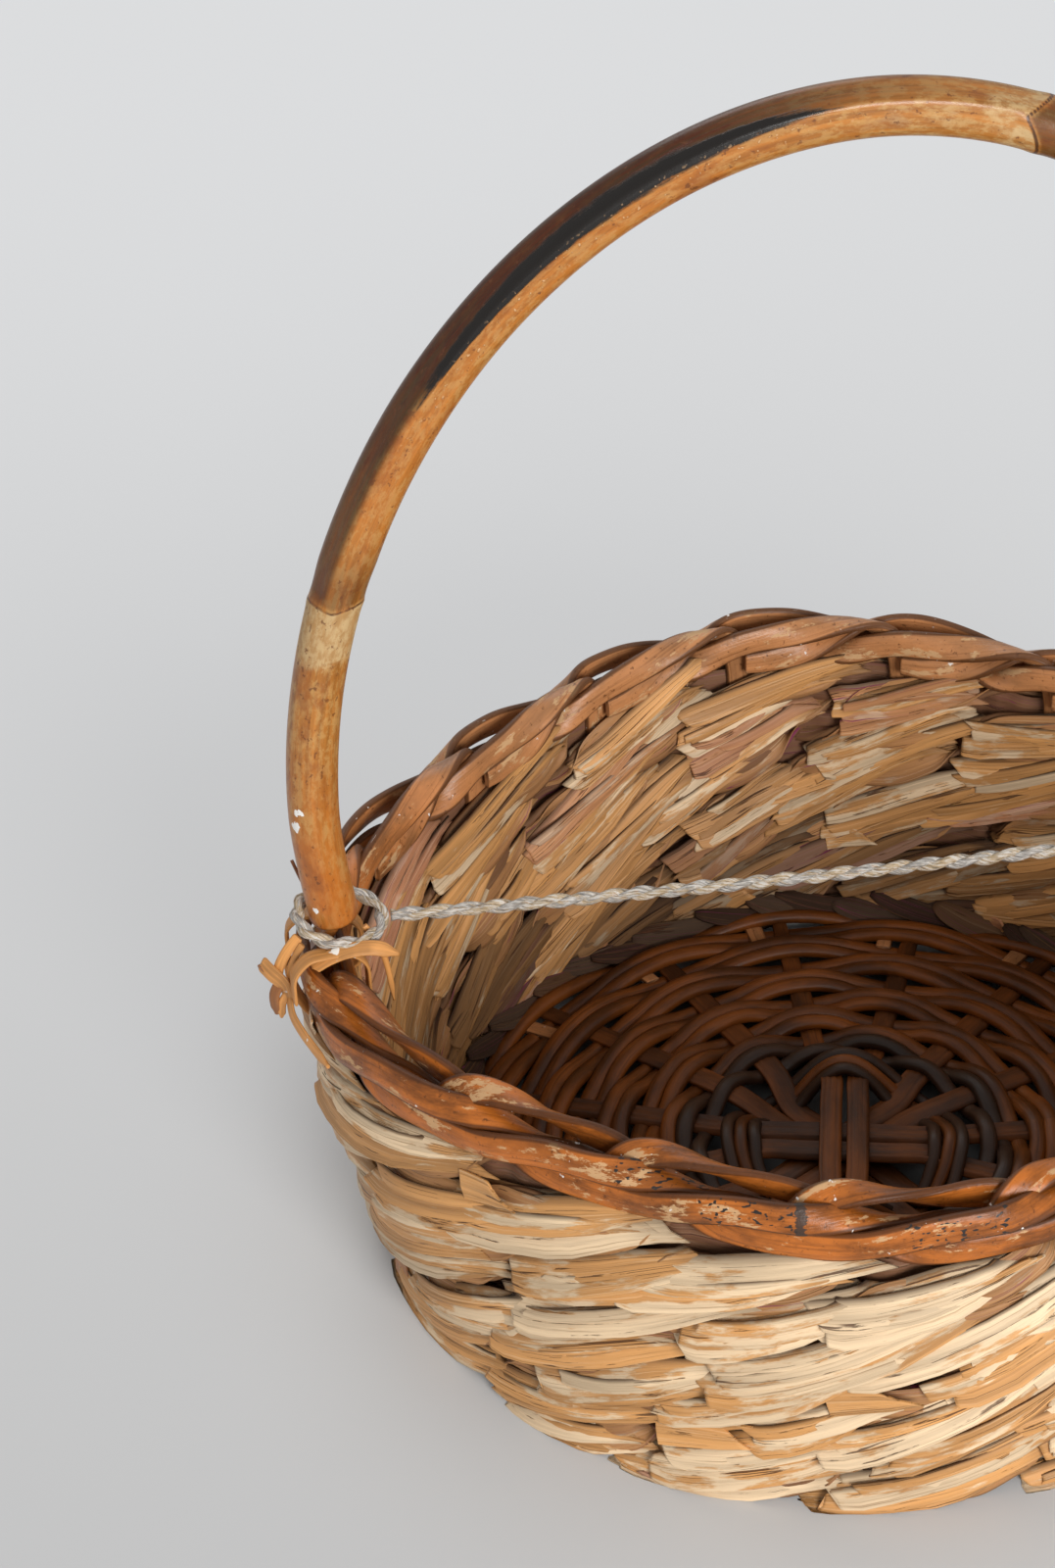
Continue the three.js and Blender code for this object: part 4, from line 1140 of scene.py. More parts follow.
# Round rods of the base: width, thickness, how far they wave over and under, and steps per spoke
WEAVER_WIDTH = 5.9 * MM
WEAVER_THICKNESS = 4.5 * MM
WEAVER_WAVE = 2.6 * MM
WEAVER_STEPS = 22

# Place of each bundle of sticks in the stack at the centre, counted from below, and the spoke
# where the first bundle begins
BUNDLE_LAYERS = (1, 3, 0, 2)
FIRST_BUNDLED = 1
LAYER_PITCH = 3.5 * MM

# Thin rods that bind the crossing: size, distance from the middle, and how black each one is
BINDING_WIDTH = 4.6 * MM
BINDING_THICKNESS = 3.8 * MM
BINDING_LIFT = 3.2 * MM
BINDING_RADIUS = 30 * MM
BINDING_PITCH = 4.4 * MM
BINDING_MIDDLE = 34 * MM
BINDING_DARK = (0.85, 0.1, 0.80)
BINDING_STEPS = 320

# Sticks: width in the upper bundle and in the others, thickness, and pitch in a bundle
TOP_STICK_WIDTH = 7.6 * MM
STICK_WIDTH = 9.0 * MM
STICK_THICKNESS = 2.9 * MM
STICK_PITCH = 9.3 * MM
STICK_END_SHARE = 0.68
CROSSING_PLACES = np.array([-29, -14.5, 14.5, 29]) * MM


def round_rod(skin, path, width, thickness, along, **tones):
    """Adds a closed rod of nearly round section, with its bark side up."""
    across, deep = split_rod(12, 0.8, 0.1)
    grid = sweep(path, UP, across * width, deep * thickness)
    skin.add(grid, along, closed_row(across) * PATTERN_WIDTH, closed=True, **tones)


def base_weaver(looks, material, row):
    """Two round rods that wave over one spoke and under the next, in turn: lift * cos(pi p)."""
    rng = rng_for(looks, 60, row)
    skin = Skin()
    position = np.arange(STAKES * WEAVER_STEPS) / WEAVER_STEPS
    angle = spoke_angle(0) + position * PERIOD
    for half in (0, 1):
        wave = rounded(np.cos(math.pi * (position + row + half)), 0.85)
        radius = FIRST_ROW_RADIUS + (row + half / 2 - 0.25) * ROW_PITCH + 0.5 * MM * wave
        radius = radius + 0.4 * MM * waves(angle / TURN, rng, 4, 7)
        path = base_point(angle, radius, base_height(radius) + WEAVER_WAVE * wave)
        width = WEAVER_WIDTH * (1 + 0.07 * waves(angle / TURN, rng, 4, 9))[:, None]
        along = np.arange(STAKES * WEAVER_STEPS + 1) / WEAVER_STEPS * PERIOD * radius.mean()
        round_rod(skin, path, width, WEAVER_THICKNESS, along, tone=rng.random(),
                  dark=0.85 if row + half / 2 < 1 else 0.0)
    skin.piece(f"wicker_base_weaver_{row + 1}", material, "base_weaver", f"base_weaver_{row + 1}")


def layer_rise(bundle):
    """Height of a bundle of sticks above or below the base's middle."""
    return (BUNDLE_LAYERS[bundle % BUNDLES] - (BUNDLES - 1) / 2) * LAYER_PITCH


def binding_rods(looks, material):
    """Three thin rods that bind the crossing: over the two upper bundles and under the two others.

    Their height is each arm's layer, plus or minus their lift, joined by cosines."""
    rng = rng_for(looks, 65)
    skin = Skin()
    arms = 2 * BUNDLES
    upper = np.array([1 if BUNDLE_LAYERS[arm % BUNDLES] >= BUNDLES / 2 else -1 for arm in range(arms)])
    heights = np.array([layer_rise(arm) for arm in range(arms)]) + upper * BINDING_LIFT
    position = np.linspace(0, arms, BINDING_STEPS, endpoint=False)
    before = position.astype(int)
    share = (1 - np.cos(math.pi * (position - before))) / 2
    rise = heights[before] * (1 - share) + heights[(before + 1) % arms] * share
    angle = spoke_angle(FIRST_BUNDLED + 0.5) + position * TURN / arms
    along = np.linspace(0, TURN * BINDING_MIDDLE, BINDING_STEPS + 1)
    for i, dark in enumerate(BINDING_DARK):
        radius = BINDING_RADIUS + BINDING_PITCH * i + 0.5 * MM * waves(angle / TURN, rng, 3, 5)
        path = base_point(angle, radius, base_height(radius) + rise)
        round_rod(skin, path, BINDING_WIDTH, BINDING_THICKNESS, along, tone=rng.random(), dark=dark)
    skin.piece("wicker_binding_rods", material, "base_weaver")


def base_stick(looks, material, near, far, bundle, offset):
    """A split stick that crosses in its bundle and spreads to the spokes at its two ends.

    The sticks right under the top bundle are ridged, as thin rods side by side would be."""
    rng = rng_for(looks, 70, near)
    fan = FIRST_ROW_RADIUS - 6.8 * MM
    bundle_angle = spoke_angle((near + far - STAKES // 2) / 2)

    def spread(k):
        radii = np.array([BASE_RADIUS - 0.3 * MM, (fan + BASE_RADIUS) / 2, fan])
        return base_point(np.full(3, spoke_angle(k)), radii, base_height(radii))

    along = outward(np.array(bundle_angle))
    aside = outward(np.array(bundle_angle + math.pi / 2))
    middle = along * CROSSING_PLACES[:, None] + aside * offset
    middle[:, 2] = base_height(np.abs(CROSSING_PLACES)) + layer_rise(bundle)
    stations = np.concatenate([spread(far), middle, spread(near)[::-1]])
    widths = np.ones((len(stations), 1))
    widths[[0, -1]] = STICK_END_SHARE
    path = even_path(smooth_path(np.concatenate([stations, widths], 1), 400), 140)
    across, deep = split_rod(26, 0.5, 0.3)
    layer = BUNDLE_LAYERS[bundle]
    ridges = 0.60 * MM * np.cos(across * 6 * math.pi) if layer == 2 else 0.15 * MM * np.sin(across * 22)
    width = (TOP_STICK_WIDTH if layer == 3 else STICK_WIDTH) * path[:, 3:4]
    grid = sweep(path[:, :3], UP, across * width, deep * STICK_THICKNESS + ridges * (deep > 0))
    skin = Skin()
    skin.add(grid, arc_length(path[:, :3]), closed_row(across) * PATTERN_WIDTH, tone=rng.random(), dark=0.0)
    number = near % (STAKES // 2) + 1
    skin.piece(f"wicker_base_stick_{number}", material, "base_stick", f"base_stick_{number}")


# Handle

# Places of the cane's two joints, as points that their rings pass through, and the rings' shape
JOINTS = ((-158.4 * MM, 252.9 * MM), (43.3 * MM, 385.3 * MM))
JOINT_SWELLING = 0.28 * MM
JOINT_SPREAD = 3 * MM

# How much thinner the cane is at its cut ends
CUT_ROUNDING = 0.07

# The cane's points along it and round it, and its radius as a share of the full one at the feet,
# with what it gains above the lower joint
CANE_STEPS = 900
CANE_SIDES = 56
FOOT_SHARE = 0.895
UPPER_GAIN = 0.035

# Between the joints: how far the arris stands up, how deep the flats on its two sides are, and
# the angle where the arris runs
ARRIS_HEIGHT = 0.75 * MM
OUTER_FLAT = -0.85 * MM
INNER_FLAT = -0.45 * MM
ARRIS_ANGLE = 0.98

# White flecks of paint on the left foot: height, angle round the cane, and size in millimetres
PAINT_FLECKS = ((179.5, 0.90, 2.0), (174, 0.70, 2.3), (142, 0.89, 1.3))

# The cane's flat tongue in the wall
TONGUE_WIDTH = 10.4 * MM
TONGUE_THICKNESS = 4.4 * MM
TONGUE_OVERLAP = 3 * MM


def cane_line():
    """The cane's middle from one shoulder to the other: two leaning feet and a squarish hoop.

    The hoop is x = span * sgn(cos) |cos|^(2/q), z = widest + rise * sin^(2/q), and a foot leans
    in with the power 1.5 of its depth below the widest place."""
    turn = np.linspace(0, math.pi, 1501)
    power = 2 / HOOP_SQUARENESS
    height = HOOP_WIDEST + HOOP_RISE * np.clip(np.sin(turn), 0, 1) ** power
    hoop = np.stack([HOOP_HALF_SPAN * rounded(np.cos(turn), power), np.zeros_like(turn), height], -1)
    height = np.linspace(SHOULDER_HEIGHT, HOOP_WIDEST, 200, endpoint=False)
    down = (HOOP_WIDEST - height) / (HOOP_WIDEST - SHOULDER_HEIGHT)
    x = HOOP_HALF_SPAN - FOOT_RETURN * down**1.5
    foot = np.stack([x, np.zeros_like(x), height], -1)
    return np.concatenate([foot, hoop, foot[::-1] * [-1, 1, 1]])


def joint_rings(path, length, b):
    """Distance past each joint's ring, which is oblique and wavy: s - s0 minus waves of the angle b."""
    starts = [length[np.argmin(np.hypot(path[:, 0] - x, path[:, 2] - z)), 0] for x, z in JOINTS]
    low = length - starts[0] - 2.5 * MM * np.cos(b - 2.4) - 3 * MM * np.abs(np.sin(b - 1.4)) + 2 * MM
    high = length - starts[1] - 8 * MM * np.abs(np.sin(b - 1.15)) + 5 * MM
    return low, high


def cane_marks(path, low, high, turned, between, b):
    """The values that the cane's material reads, from the places past the joints and round it.

    burn is widest about the middle of the burnt stretch; red lies on the outer side, pale below
    each joint, and dots on the inner edge of the burn."""
    x, height = path[:, :1], path[:, 2:]
    burn_place = smoothstep(-148 * MM, -108 * MM, x) * smoothstep(18 * MM, -48 * MM, x)
    bulk = bell(x + 70 * MM, 38 * MM)
    outer = smoothstep(0.15, -0.15, turned) * smoothstep(-2.4, -1.9, turned)
    dark_side = (0.65 + 0.35 * smoothstep(-165 * MM, -110 * MM, x)) * smoothstep(30 * MM, -55 * MM, x)
    red = between * outer * (0.20 + 0.80 * dark_side)
    red = np.maximum(red, 0.75 * smoothstep(0, 2 * MM, high))
    red = np.maximum(red, 0.5 * smoothstep(0, 2 * MM, low) * smoothstep(30 * MM, 4 * MM, low))
    pale = smoothstep(0.5 * MM, -1 * MM, low) * smoothstep(-29 * MM, -10 * MM, low)
    pale_high = smoothstep(0.5 * MM, -1 * MM, high) * smoothstep(-26 * MM, -8 * MM, high)
    pale = np.maximum(pale, 0.55 * pale_high)
    pale = np.maximum(pale, between * smoothstep(-60 * MM, 20 * MM, x) * 0.40 * (1 - outer))
    seam = np.maximum(bell(low, 0.7 * MM) * 0.8, bell(high, 0.8 * MM))
    warm_top = smoothstep(250 * MM, 290 * MM, height) * smoothstep(10 * MM, -60 * MM, x) * (1 - outer)
    fleck = np.zeros_like(turned)
    for level, around, width in PAINT_FLECKS:
        spot = np.hypot(height - level * MM, (b - around) * CANE_RADIUS)
        fleck = np.maximum(fleck, bell(spot, width * MM) * (x < 0))
    return {
        "burn": burn_place * bell(turned + 0.10 * bulk, 0.22 + 0.30 * bulk),
        "red": red,
        "pale": pale,
        "dots": between * burn_place * smoothstep(0.12, 0.3, turned) * smoothstep(1.0, 0.6, turned),
        "seam": np.maximum(seam, bell(turned, 0.05) * between * 0.45),
        "fleck": fleck,
        "warm": np.broadcast_to(smoothstep(215 * MM, 150 * MM, height) + 0.45 * warm_top, turned.shape),
    }


def handle(looks, material):
    """The cane: a round section with a ridge between the joints, and oblique swollen joint rings.

    b is the angle round the section from the hoop's outer side towards the camera, and turned is
    the same angle from the ridge, which is an arris between two flats."""
    rng = rng_for(looks, 80)
    path = even_path(cane_line(), CANE_STEPS)[::-1]
    length = arc_length(path)[:, None]
    b = full_turn(CANE_SIDES)[None]
    along = unit(np.gradient(path, axis=0))
    out = np.cross(along, np.array([0.0, 1.0, 0.0]))
    out *= np.sign(np.sum(out * (path - [0, 0, 0.2]), -1, keepdims=True))
    low, high = joint_rings(path, length, b)
    between = smoothstep(0, 4 * MM, low) * smoothstep(0, -4 * MM, high)
    above = smoothstep(-2 * MM, 6 * MM, low)
    radius = CANE_RADIUS * (FOOT_SHARE + UPPER_GAIN * above + 0.012 * waves(length / 0.6, rng, 4, 3))
    radius = radius + JOINT_SWELLING * (bell(low, JOINT_SPREAD) + bell(high, JOINT_SPREAD))
    radius = radius - 0.35 * MM * (smoothstep(-1 * MM, 1 * MM, low) * smoothstep(14 * MM, 4 * MM, low))
    turned = np.angle(np.exp(1j * (b - ARRIS_ANGLE - 0.10 * np.sin(length / 0.11))))
    radius = radius + ARRIS_HEIGHT * np.exp(-np.abs(turned) / 0.16) * between
    radius = radius + OUTER_FLAT * bell(turned + 0.62, 0.42) * between
    radius = radius + INNER_FLAT * bell(turned - 0.55, 0.35) * between
    for from_end in (length, length[-1] - length):
        radius = radius * (1 - CUT_ROUNDING * (1 - smoothstep(-0.3 * MM, 1.4 * MM, from_end)))
    direction = out[:, None] * np.cos(b)[..., None] + np.array([0.0, -1.0, 0.0]) * np.sin(b)[..., None]
    skin = Skin()
    skin.add(path[:, None] + direction * radius[..., None], length[:, 0],
             np.linspace(0, TURN, CANE_SIDES + 1) * CANE_RADIUS,
             **cane_marks(path, low, high, turned, between, b))
    for side in (-1, 1):
        tongue(skin, side)
    skin.piece("cane_handle", material, "handle_cane", "handle_cane")


def tongue(skin, side):
    """The cane's flat tongue from just inside the shoulder down into the wall, thinned at its tip."""
    rim = rim_height(np.array(0.0))
    free, tip = rim + BORDER_DEPTH, rim - TONGUE_DEPTH
    height = np.linspace(SHOULDER_HEIGHT + TONGUE_OVERLAP, tip, 60)
    share = np.clip((height - free) / (SHOULDER_HEIGHT - free), 0, 1)
    in_wall = wall_middle(np.zeros_like(height), height)[:, 0]
    x = in_wall + (HOOP_HALF_SPAN - FOOT_RETURN - in_wall) * share
    path = np.stack([x * side, np.zeros_like(x), height], -1)
    turn = full_turn(20)
    width = TONGUE_WIDTH * (0.55 + 0.45 * smoothstep(0, 32 * MM, height - tip))
    depth = TONGUE_THICKNESS * (0.4 + 0.6 * smoothstep(0, 12 * MM, height - tip))
    grid = sweep(path, np.array([side, 0.0, 0.0]), rounded(np.cos(turn), 0.55) * width[:, None] / 2,
                 rounded(np.sin(turn), 0.55) * depth[:, None] / 2)
    skin.add(grid, height[0] - height, np.linspace(0, 28 * MM, 21),
             burn=0.0, red=0.25, pale=0.0, dots=0.0, seam=0.0, fleck=0.0, warm=1.0)


# Lashing and cord

# The strip's section, a squarish flat oval: its corners, its squareness and its half sizes
STRIP_SIDES = 14
STRIP_SQUARENESS = 0.6
LASHING_HALF_WIDTH = 3.1 * MM
LASHING_HALF_THICKNESS = 0.65 * MM
KNOT_HALF_THICKNESS = 0.55 * MM

# The lashing's spiral: half its width across the border, half its height, how much lower it is
# behind the tongue, and its places before and behind the tongue
LASHING_REACH = 12 * MM
LASHING_RISE = 13.6 * MM
LASHING_DROP = 1.8 * MM
LASHING_BEFORE = math.radians(4.3)
LASHING_BEHIND = math.radians(3.5)

# Free strips of each foot: width in millimetres, how dark, the face's direction, and the stations
# in millimetres. Both count outward from the basket's middle, ahead of the tongue, and up.
FREE_STRIPS = {
    "knot band": (6.0, 0.0, (0.75, 0.6, 0.3),
                  [(190.2, 3.4, 120.4), (187.6, 7.0, 119.0), (183.8, 9.8, 115.6), (182.4, 10.4, 109.0)]),
    "knot fold": (4.6, 0.75, (0.85, 0.4, 0.2),
                  [(186.4, 3.6, 114.6), (189.6, 3.6, 116.6), (190.8, 3.8, 119.8)]),
    "first strip up": (3.6, 0.0, (0.55, 0.8, 0.15),
                       [(178.0, 6, 131.6), (182.0, 6.6, 126.6), (185.0, 7, 120.6), (185.6, 7.6, 116.0)]),
    "second strip up": (2.4, 0.1, (0.7, 0.6, 0.25),
                        [(177.0, 8, 130.0), (180.0, 8.6, 125.0), (181.8, 9, 120.0), (181.6, 9.6, 116.6)]),
    "first low end": (3.8, 0.8, (0.6, 0.7, 0.1),
                      [(184.6, 8, 116.5), (187.2, 8.4, 110.9), (187.0, 9, 103.8)]),
    "second low end": (2.9, 0.1, (0.5, 0.8, 0.1),
                       [(182.6, 9.6, 112.6), (185.0, 9.8, 108.6), (185.6, 10, 103.0)]),
    "tail": (3.4, 0.0, (0.8, 0.4, 0.3),
             [(182.6, 10.4, 111.0), (182.2, 16, 108.6), (180.0, 23, 107.4), (176.8, 31, 106.8),
              (172.9, 41, 107.0)]),
    "free end": (5.0, 0.0, (0.05, 0.6, 0.8),
                 [(174.6, 13.6, 124.8), (169.0, 14.0, 128.4), (162.4, 14.2, 130.6), (154.6, 14.2, 130.6),
                  (147.2, 13.6, 126.6)]),
    "hanging end": (2.0, 0.1, (-0.3, 0.9, 0.1),
                    [(157, 6, 133.5), (152.4, 7, 124), (150.4, 7.5, 114), (149.6, 8.5, 104)]),
    "twig": (2.3, 0.95, (0.9, 0.1, 0.1),
             [(174.8, -4.8, 144), (176.4, -6.0, 148.4), (177.6, -6.6, 152.2)]),
}

# The cord's twist, its loops' room on the cane and their points, and how far each loop is drawn
# towards the span
CORD_LAY = 18 * MM
CORD_ROOM = 0.3 * MM
LOOP_STEPS = 160
LOOP_PULL = 3.2 * MM
PLIES = 2
PLY_SIDES = 12
PLY_OFFSET = 0.185
PLY_RADIUS = 0.285

FEET = (("right", 1), ("left", -1))


def half_turn(points, side):
    """Points for the right foot, turned by half a turn about Z for the left one."""
    return points * [side, side, 1]


def strip(skin, points, faces, side, half_width, half_thickness, wrap, start=0.0, **values):
    """Adds a flat strip along the points of one foot. Its pattern is wrap wide and begins at start."""
    turn = full_turn(STRIP_SIDES)
    grid = sweep(half_turn(points, side), half_turn(faces, side),
                 rounded(np.cos(turn), STRIP_SQUARENESS) * half_width,
                 rounded(np.sin(turn), STRIP_SQUARENESS) * half_thickness)
    skin.add(grid, arc_length(points) + start, np.linspace(0, wrap, STRIP_SIDES + 1), **values)


def lashing(material, name, side):
    """The strip round the border on both sides of the tongue, as a squared spiral.

    It turns by -0.25 + 3.75 pi t; across is reach * cos and the height is rise or depth * sin,
    both held at the corners, and its place shifts past the tongue half way."""
    share = np.linspace(0, 1, 160)
    turn = -0.25 + share * 3.75 * math.pi
    behind = smoothstep(0.44, 0.56, share)
    angle = LASHING_BEFORE * (1 - behind) - LASHING_BEHIND * behind
    level = rim_height(angle)
    rise = np.where(np.sin(turn) > 0, LASHING_RISE - LASHING_DROP * behind, BORDER_DEPTH + LASHING_SLOT / 2)
    across, up = (np.clip(1.12 * wave, -1, 1) for wave in (np.cos(turn), np.sin(turn)))
    points = relax(wall_point(angle, level, LASHING_REACH * across) + UP * (rise * up)[:, None], 3)
    skin = Skin()
    strip(skin, points, facing(wall_normal(angle, level), turn), side, LASHING_HALF_WIDTH,
          LASHING_HALF_THICKNESS, 13 * MM, dark=0.0)
    skin.piece(f"splint_lashing_{name}", material, "lashing_splint", f"lashing_{name}")


def knot(material, name, side):
    """The strip's tied ends: bands that cross on the outside of the border, and free ends.

    Each is a flat oval carried along a spline through its stations, narrowed at its two ends."""
    skin = Skin()
    share = np.linspace(0, 1, 40)
    narrow = 1 - 0.15 * smoothstep(0.04, 0, share) - 0.65 * smoothstep(0.80, 1, share)
    for width, dark, face, stations in FREE_STRIPS.values():
        points = even_path(smooth_path(np.array(stations) * MM, 160), 40)
        strip(skin, points, np.array(face), side, (width / 2 * MM * narrow)[:, None], KNOT_HALF_THICKNESS,
              2 * width * MM, width * 0.1, dark=dark)
    skin.piece(f"splint_knot_{name}", material, "lashing_splint", f"lashing_knot_{name}")


def plies(skin, path, closed, diameter):
    """Two plies wound round a path: each is offset by less than a quarter of the diameter, at an
    angle of 2 pi s / lay, half a turn apart, and is a lumpy round tube itself."""
    length = arc_length(np.concatenate([path, path[:1]]) if closed else path)
    s = length[:-1] if closed else length
    step = np.gradient(np.concatenate([path[-1:], path, path[:1]]) if closed else path, axis=0)
    along = unit(step[1:-1] if closed else step)
    side = unit(np.cross(along, UP))
    up = np.cross(side, along)
    lay = length[-1] / max(1, round(length[-1] / CORD_LAY))
    around = full_turn(PLY_SIDES)
    circle = side[:, None] * np.cos(around)[:, None] + up[:, None] * np.sin(around)[:, None]
    for ply in range(PLIES):
        turn = TURN * s / lay + math.pi * ply
        spoke = side * np.cos(turn)[:, None] + up * np.sin(turn)[:, None]
        middle = path + spoke * diameter * PLY_OFFSET
        lump = 1 + 0.07 * np.sin(s / (0.62 * diameter) + 2 * ply + 1.5 * np.sin(s / 0.031))[:, None]
        lump = lump + 0.06 * np.cos(3 * around + s[:, None] / (0.8 * diameter))
        lump = lump + 0.05 * np.cos(5 * around - s[:, None] / (0.37 * diameter) + ply)
        grid = middle[:, None] + circle * (diameter * PLY_RADIUS * lump)[..., None]
        skin.add(grid, length, np.linspace(0, TURN, PLY_SIDES + 1) * diameter * 0.27, closed=closed,
                 tone=float(ply))


def tie_cord(looks, material):
    """The cord's span, sagging as a parabola, and its loop round each end of the cane."""
    neck = HOOP_HALF_SPAN - FOOT_RETURN
    radius = CANE_RADIUS + looks.cord_diameter / 2 + CORD_ROOM
    turn = full_turn(LOOP_STEPS)
    pull = ((1 - np.cos(turn)) / 2) ** 3
    loop = outward(turn) * (radius + LOOP_PULL * pull)[:, None] + [neck, 0, 0]
    loop[:, 2] = CORD_HEIGHT + 2 * MM * (1 + np.cos(turn)) - 1.5 * MM * np.sin(turn)
    for name, side in FEET:
        skin = Skin()
        plies(skin, half_turn(loop, side), True, looks.cord_diameter)
        skin.piece(f"cord_loop_fine_{name}", material, "tie_cord", f"cord_loop_{name}")
    end = neck - radius - LOOP_PULL - looks.cord_diameter / 2 - CORD_ROOM
    share = np.linspace(-1, 1, 401)
    path = np.stack([end * share, np.zeros_like(share), CORD_HEIGHT - CORD_SAG * (1 - share**2)], -1)
    skin = Skin()
    plies(skin, path, False, looks.cord_diameter)
    span = skin.piece("cord_span", material, "tie_cord", "tie_cord")


# Stage

# Each lamp's name, place, target, size in metres, power in watts and colour
LAMPS = (
    ("window", (0.7, -2.6, 1.15), (0, 0, 0.1), 1.2, 71, (1.0, 0.985, 0.965)),
    ("far_floor", (-0.2, 1.9, 1.5), (0, 1.1, 0), 1.4, 9, (1, 1, 1)),
)
SKY_COLOR = (1.0, 0.995, 0.985, 1)
SKY_STRENGTH = 0.55
FLOOR_HALF = 6
FLOOR_SQUARES = 12


def aim_camera():
    """The photograph's camera, from its place, pitch, azimuth and roll."""
    data = bpy.data.cameras.new("photo_camera")
    data.lens = CAMERA_LENS
    camera = bpy.data.objects.new("photo_camera", data)
    bpy.context.scene.collection.objects.link(camera)
    forward = Vector((math.sin(CAMERA_AZIMUTH) * math.cos(CAMERA_PITCH),
                      math.cos(CAMERA_AZIMUTH) * math.cos(CAMERA_PITCH), -math.sin(CAMERA_PITCH)))
    right = Vector((math.cos(CAMERA_AZIMUTH), -math.sin(CAMERA_AZIMUTH), 0))
    up = right.cross(forward)
    turned = right * math.cos(CAMERA_ROLL) - up * math.sin(CAMERA_ROLL)
    upright = turned.cross(forward)
    rotation = Matrix((turned, upright, -forward)).transposed()
    camera.matrix_world = Matrix.Translation(CAMERA_PLACE) @ rotation.to_4x4()
    bpy.context.scene.camera = camera


def add_lamp(name, place, target, size, power, color):
    data = bpy.data.lights.new(name, "AREA")
    data.shape, data.size, data.energy, data.color = "DISK", size, power, color
    lamp = bpy.data.objects.new(name, data)
    lamp.location = place
    lamp.rotation_euler = (Vector(target) - Vector(place)).to_track_quat("-Z", "Y").to_euler()
    bpy.context.scene.collection.objects.link(lamp)


def lay_floor(material):
    """A large level floor of squares."""
    side = FLOOR_SQUARES + 1
    grid = np.linspace(-FLOOR_HALF, FLOOR_HALF, side)
    x, y = np.meshgrid(grid, grid, indexing="ij")
    points = np.stack([x, y, np.zeros_like(x)], -1).reshape(-1, 3)
    corner = (np.arange(FLOOR_SQUARES)[:, None] * side + np.arange(FLOOR_SQUARES)).reshape(-1, 1)
    faces = corner + np.array([0, side, side + 1, 1])
    mesh = bpy.data.meshes.new("floor")
    mesh.from_pydata(points.tolist(), [], faces.tolist())
    mesh.materials.append(material)
    floor = bpy.data.objects.new("floor", mesh)
    bpy.context.scene.collection.objects.link(floor)


def light_sky():
    """An even pale sky."""
    world = bpy.data.worlds.new("studio")
    world.use_nodes = True
    sky = world.node_tree.nodes["Background"].inputs
    sky["Color"].default_value = SKY_COLOR
    sky["Strength"].default_value = SKY_STRENGTH
    bpy.context.scene.world = world


# Operators


class BASKET_OT_stage(Operator):
    """Sets the camera, the lamps and the floor"""

    bl_idname = "basket.stage"
    bl_label = "Stage"

    def execute(self, context):
        context.scene.view_settings.view_transform = "Standard"
        aim_camera()
        lay_floor(floor_material(context.scene.basket_looks))
        light_sky()
        for lamp in LAMPS:
            add_lamp(*lamp)
        return {"FINISHED"}


class BASKET_OT_handle(Operator):
    """Builds the bent cane with its tongues"""

    bl_idname = "basket.handle"
    bl_label = "Handle"

    def execute(self, context):
        looks = context.scene.basket_looks
        handle(looks, cane_material(looks))
        return {"FINISHED"}


class BASKET_OT_cord(Operator):
    """Builds the tie cord and its loops"""

    bl_idname = "basket.cord"
    bl_label = "Tie cord"

    def execute(self, context):
        looks = context.scene.basket_looks
        tie_cord(looks, cord_material(looks))
        return {"FINISHED"}


class BASKET_OT_lashings(Operator):
    """Builds the lashings and knots at the handle's feet"""

    bl_idname = "basket.lashings"
    bl_label = "Lashings"

    def execute(self, context):
        material = splint_material(context.scene.basket_looks)
        for name, side in FEET:
            lashing(material, name, side)
            knot(material, name, side)
        return {"FINISHED"}


class BASKET_OT_border(Operator):
    """Builds the stakes, whose ends are the rods of the border"""

    bl_idname = "basket.border"
    bl_label = "Stakes and border"

    def execute(self, context):
        looks = context.scene.basket_looks
        material = rod_material(looks)
        for k in range(STAKES):
            border_rod(looks, material, k)
        return {"FINISHED"}


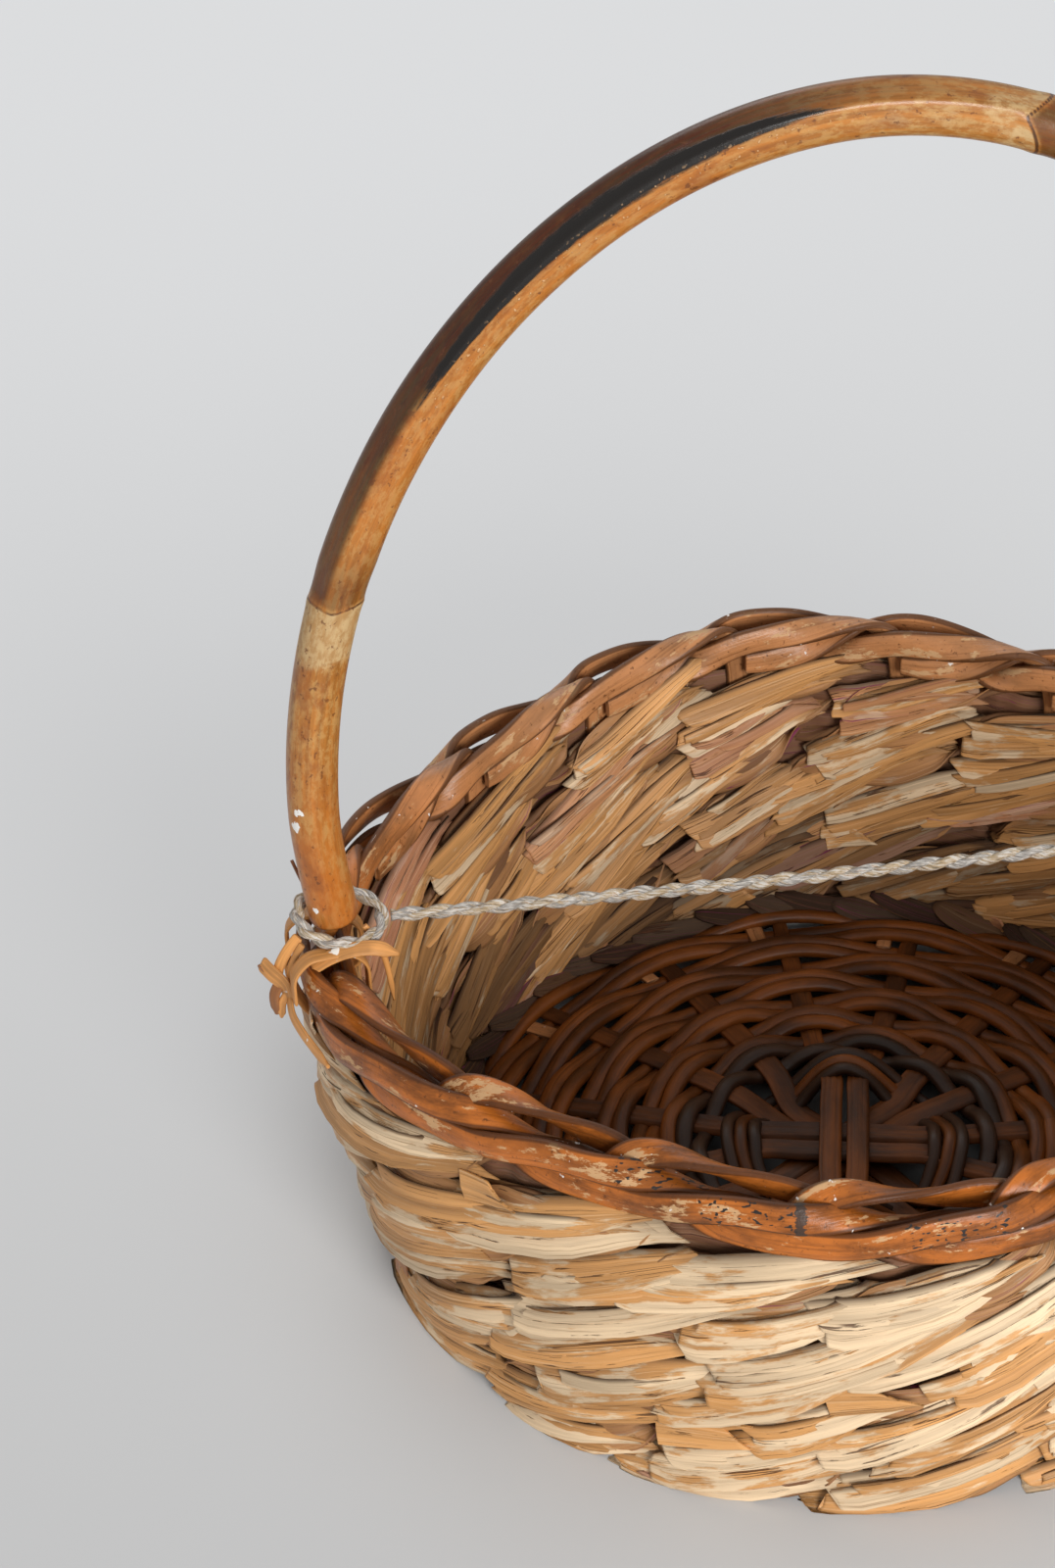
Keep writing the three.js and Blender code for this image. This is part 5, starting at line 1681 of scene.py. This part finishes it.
class BASKET_OT_wall(Operator):
    """Builds the twined leaf strands of the wall"""

    bl_idname = "basket.wall"
    bl_label = "Wall"

    def execute(self, context):
        looks = context.scene.basket_looks
        material = leaf_material(looks)
        for row in range(WALL_ROWS):
            for ply in range(2):
                wall_strand(looks, material, row, ply)
        foot_leaves(looks, material)
        return {"FINISHED"}


class BASKET_OT_base(Operator):
    """Builds the sticks and weavers of the base"""

    bl_idname = "basket.base"
    bl_label = "Base"

    def execute(self, context):
        looks = context.scene.basket_looks
        weaver = wicker_material("base_weaver", looks.base_color, 0.32)
        stick = wicker_material("base_stick", shade(looks.base_color, 0.8), 0.45)
        for row in range(BASE_ROWS):
            base_weaver(looks, weaver, row)
        pairs = STAKES // 2
        for bundle in range(BUNDLES):
            first, count = FIRST_BUNDLED + bundle * pairs // BUNDLES, pairs // BUNDLES
            for i in range(count):
                offset = (i - (count - 1) / 2) * STICK_PITCH
                base_stick(looks, stick, first + i, first + count - 1 - i + pairs, bundle, offset)
        binding_rods(looks, weaver)
        return {"FINISHED"}


class BASKET_PT_panel(Panel):
    """Lists the basket's sizes, colours and steps"""

    bl_idname = "BASKET_PT_panel"
    bl_label = "Basket"
    bl_space_type = "VIEW_3D"
    bl_region_type = "UI"
    bl_category = "Basket"

    def draw(self, context):
        for name in BasketLooks.__annotations__:
            self.layout.prop(context.scene.basket_looks, name)
        for operator in OPERATORS:
            self.layout.operator(operator.bl_idname)


OPERATORS = (BASKET_OT_stage, BASKET_OT_cord, BASKET_OT_handle, BASKET_OT_lashings,
             BASKET_OT_border, BASKET_OT_wall, BASKET_OT_base)
CLASSES = (BasketLooks, *OPERATORS, BASKET_PT_panel)


def register():
    for item in CLASSES:
        bpy.utils.register_class(item)
    bpy.types.Scene.basket_looks = PointerProperty(type=BasketLooks)


def unregister():
    del bpy.types.Scene.basket_looks
    for item in reversed(CLASSES):
        bpy.utils.unregister_class(item)


def main():
    register()
    bpy.ops.basket.stage()
    bpy.ops.basket.cord()
    bpy.ops.basket.handle()
    bpy.ops.basket.lashings()
    bpy.ops.basket.border()
    bpy.ops.basket.wall()
    bpy.ops.basket.base()


if __name__ == "__main__":
    main()
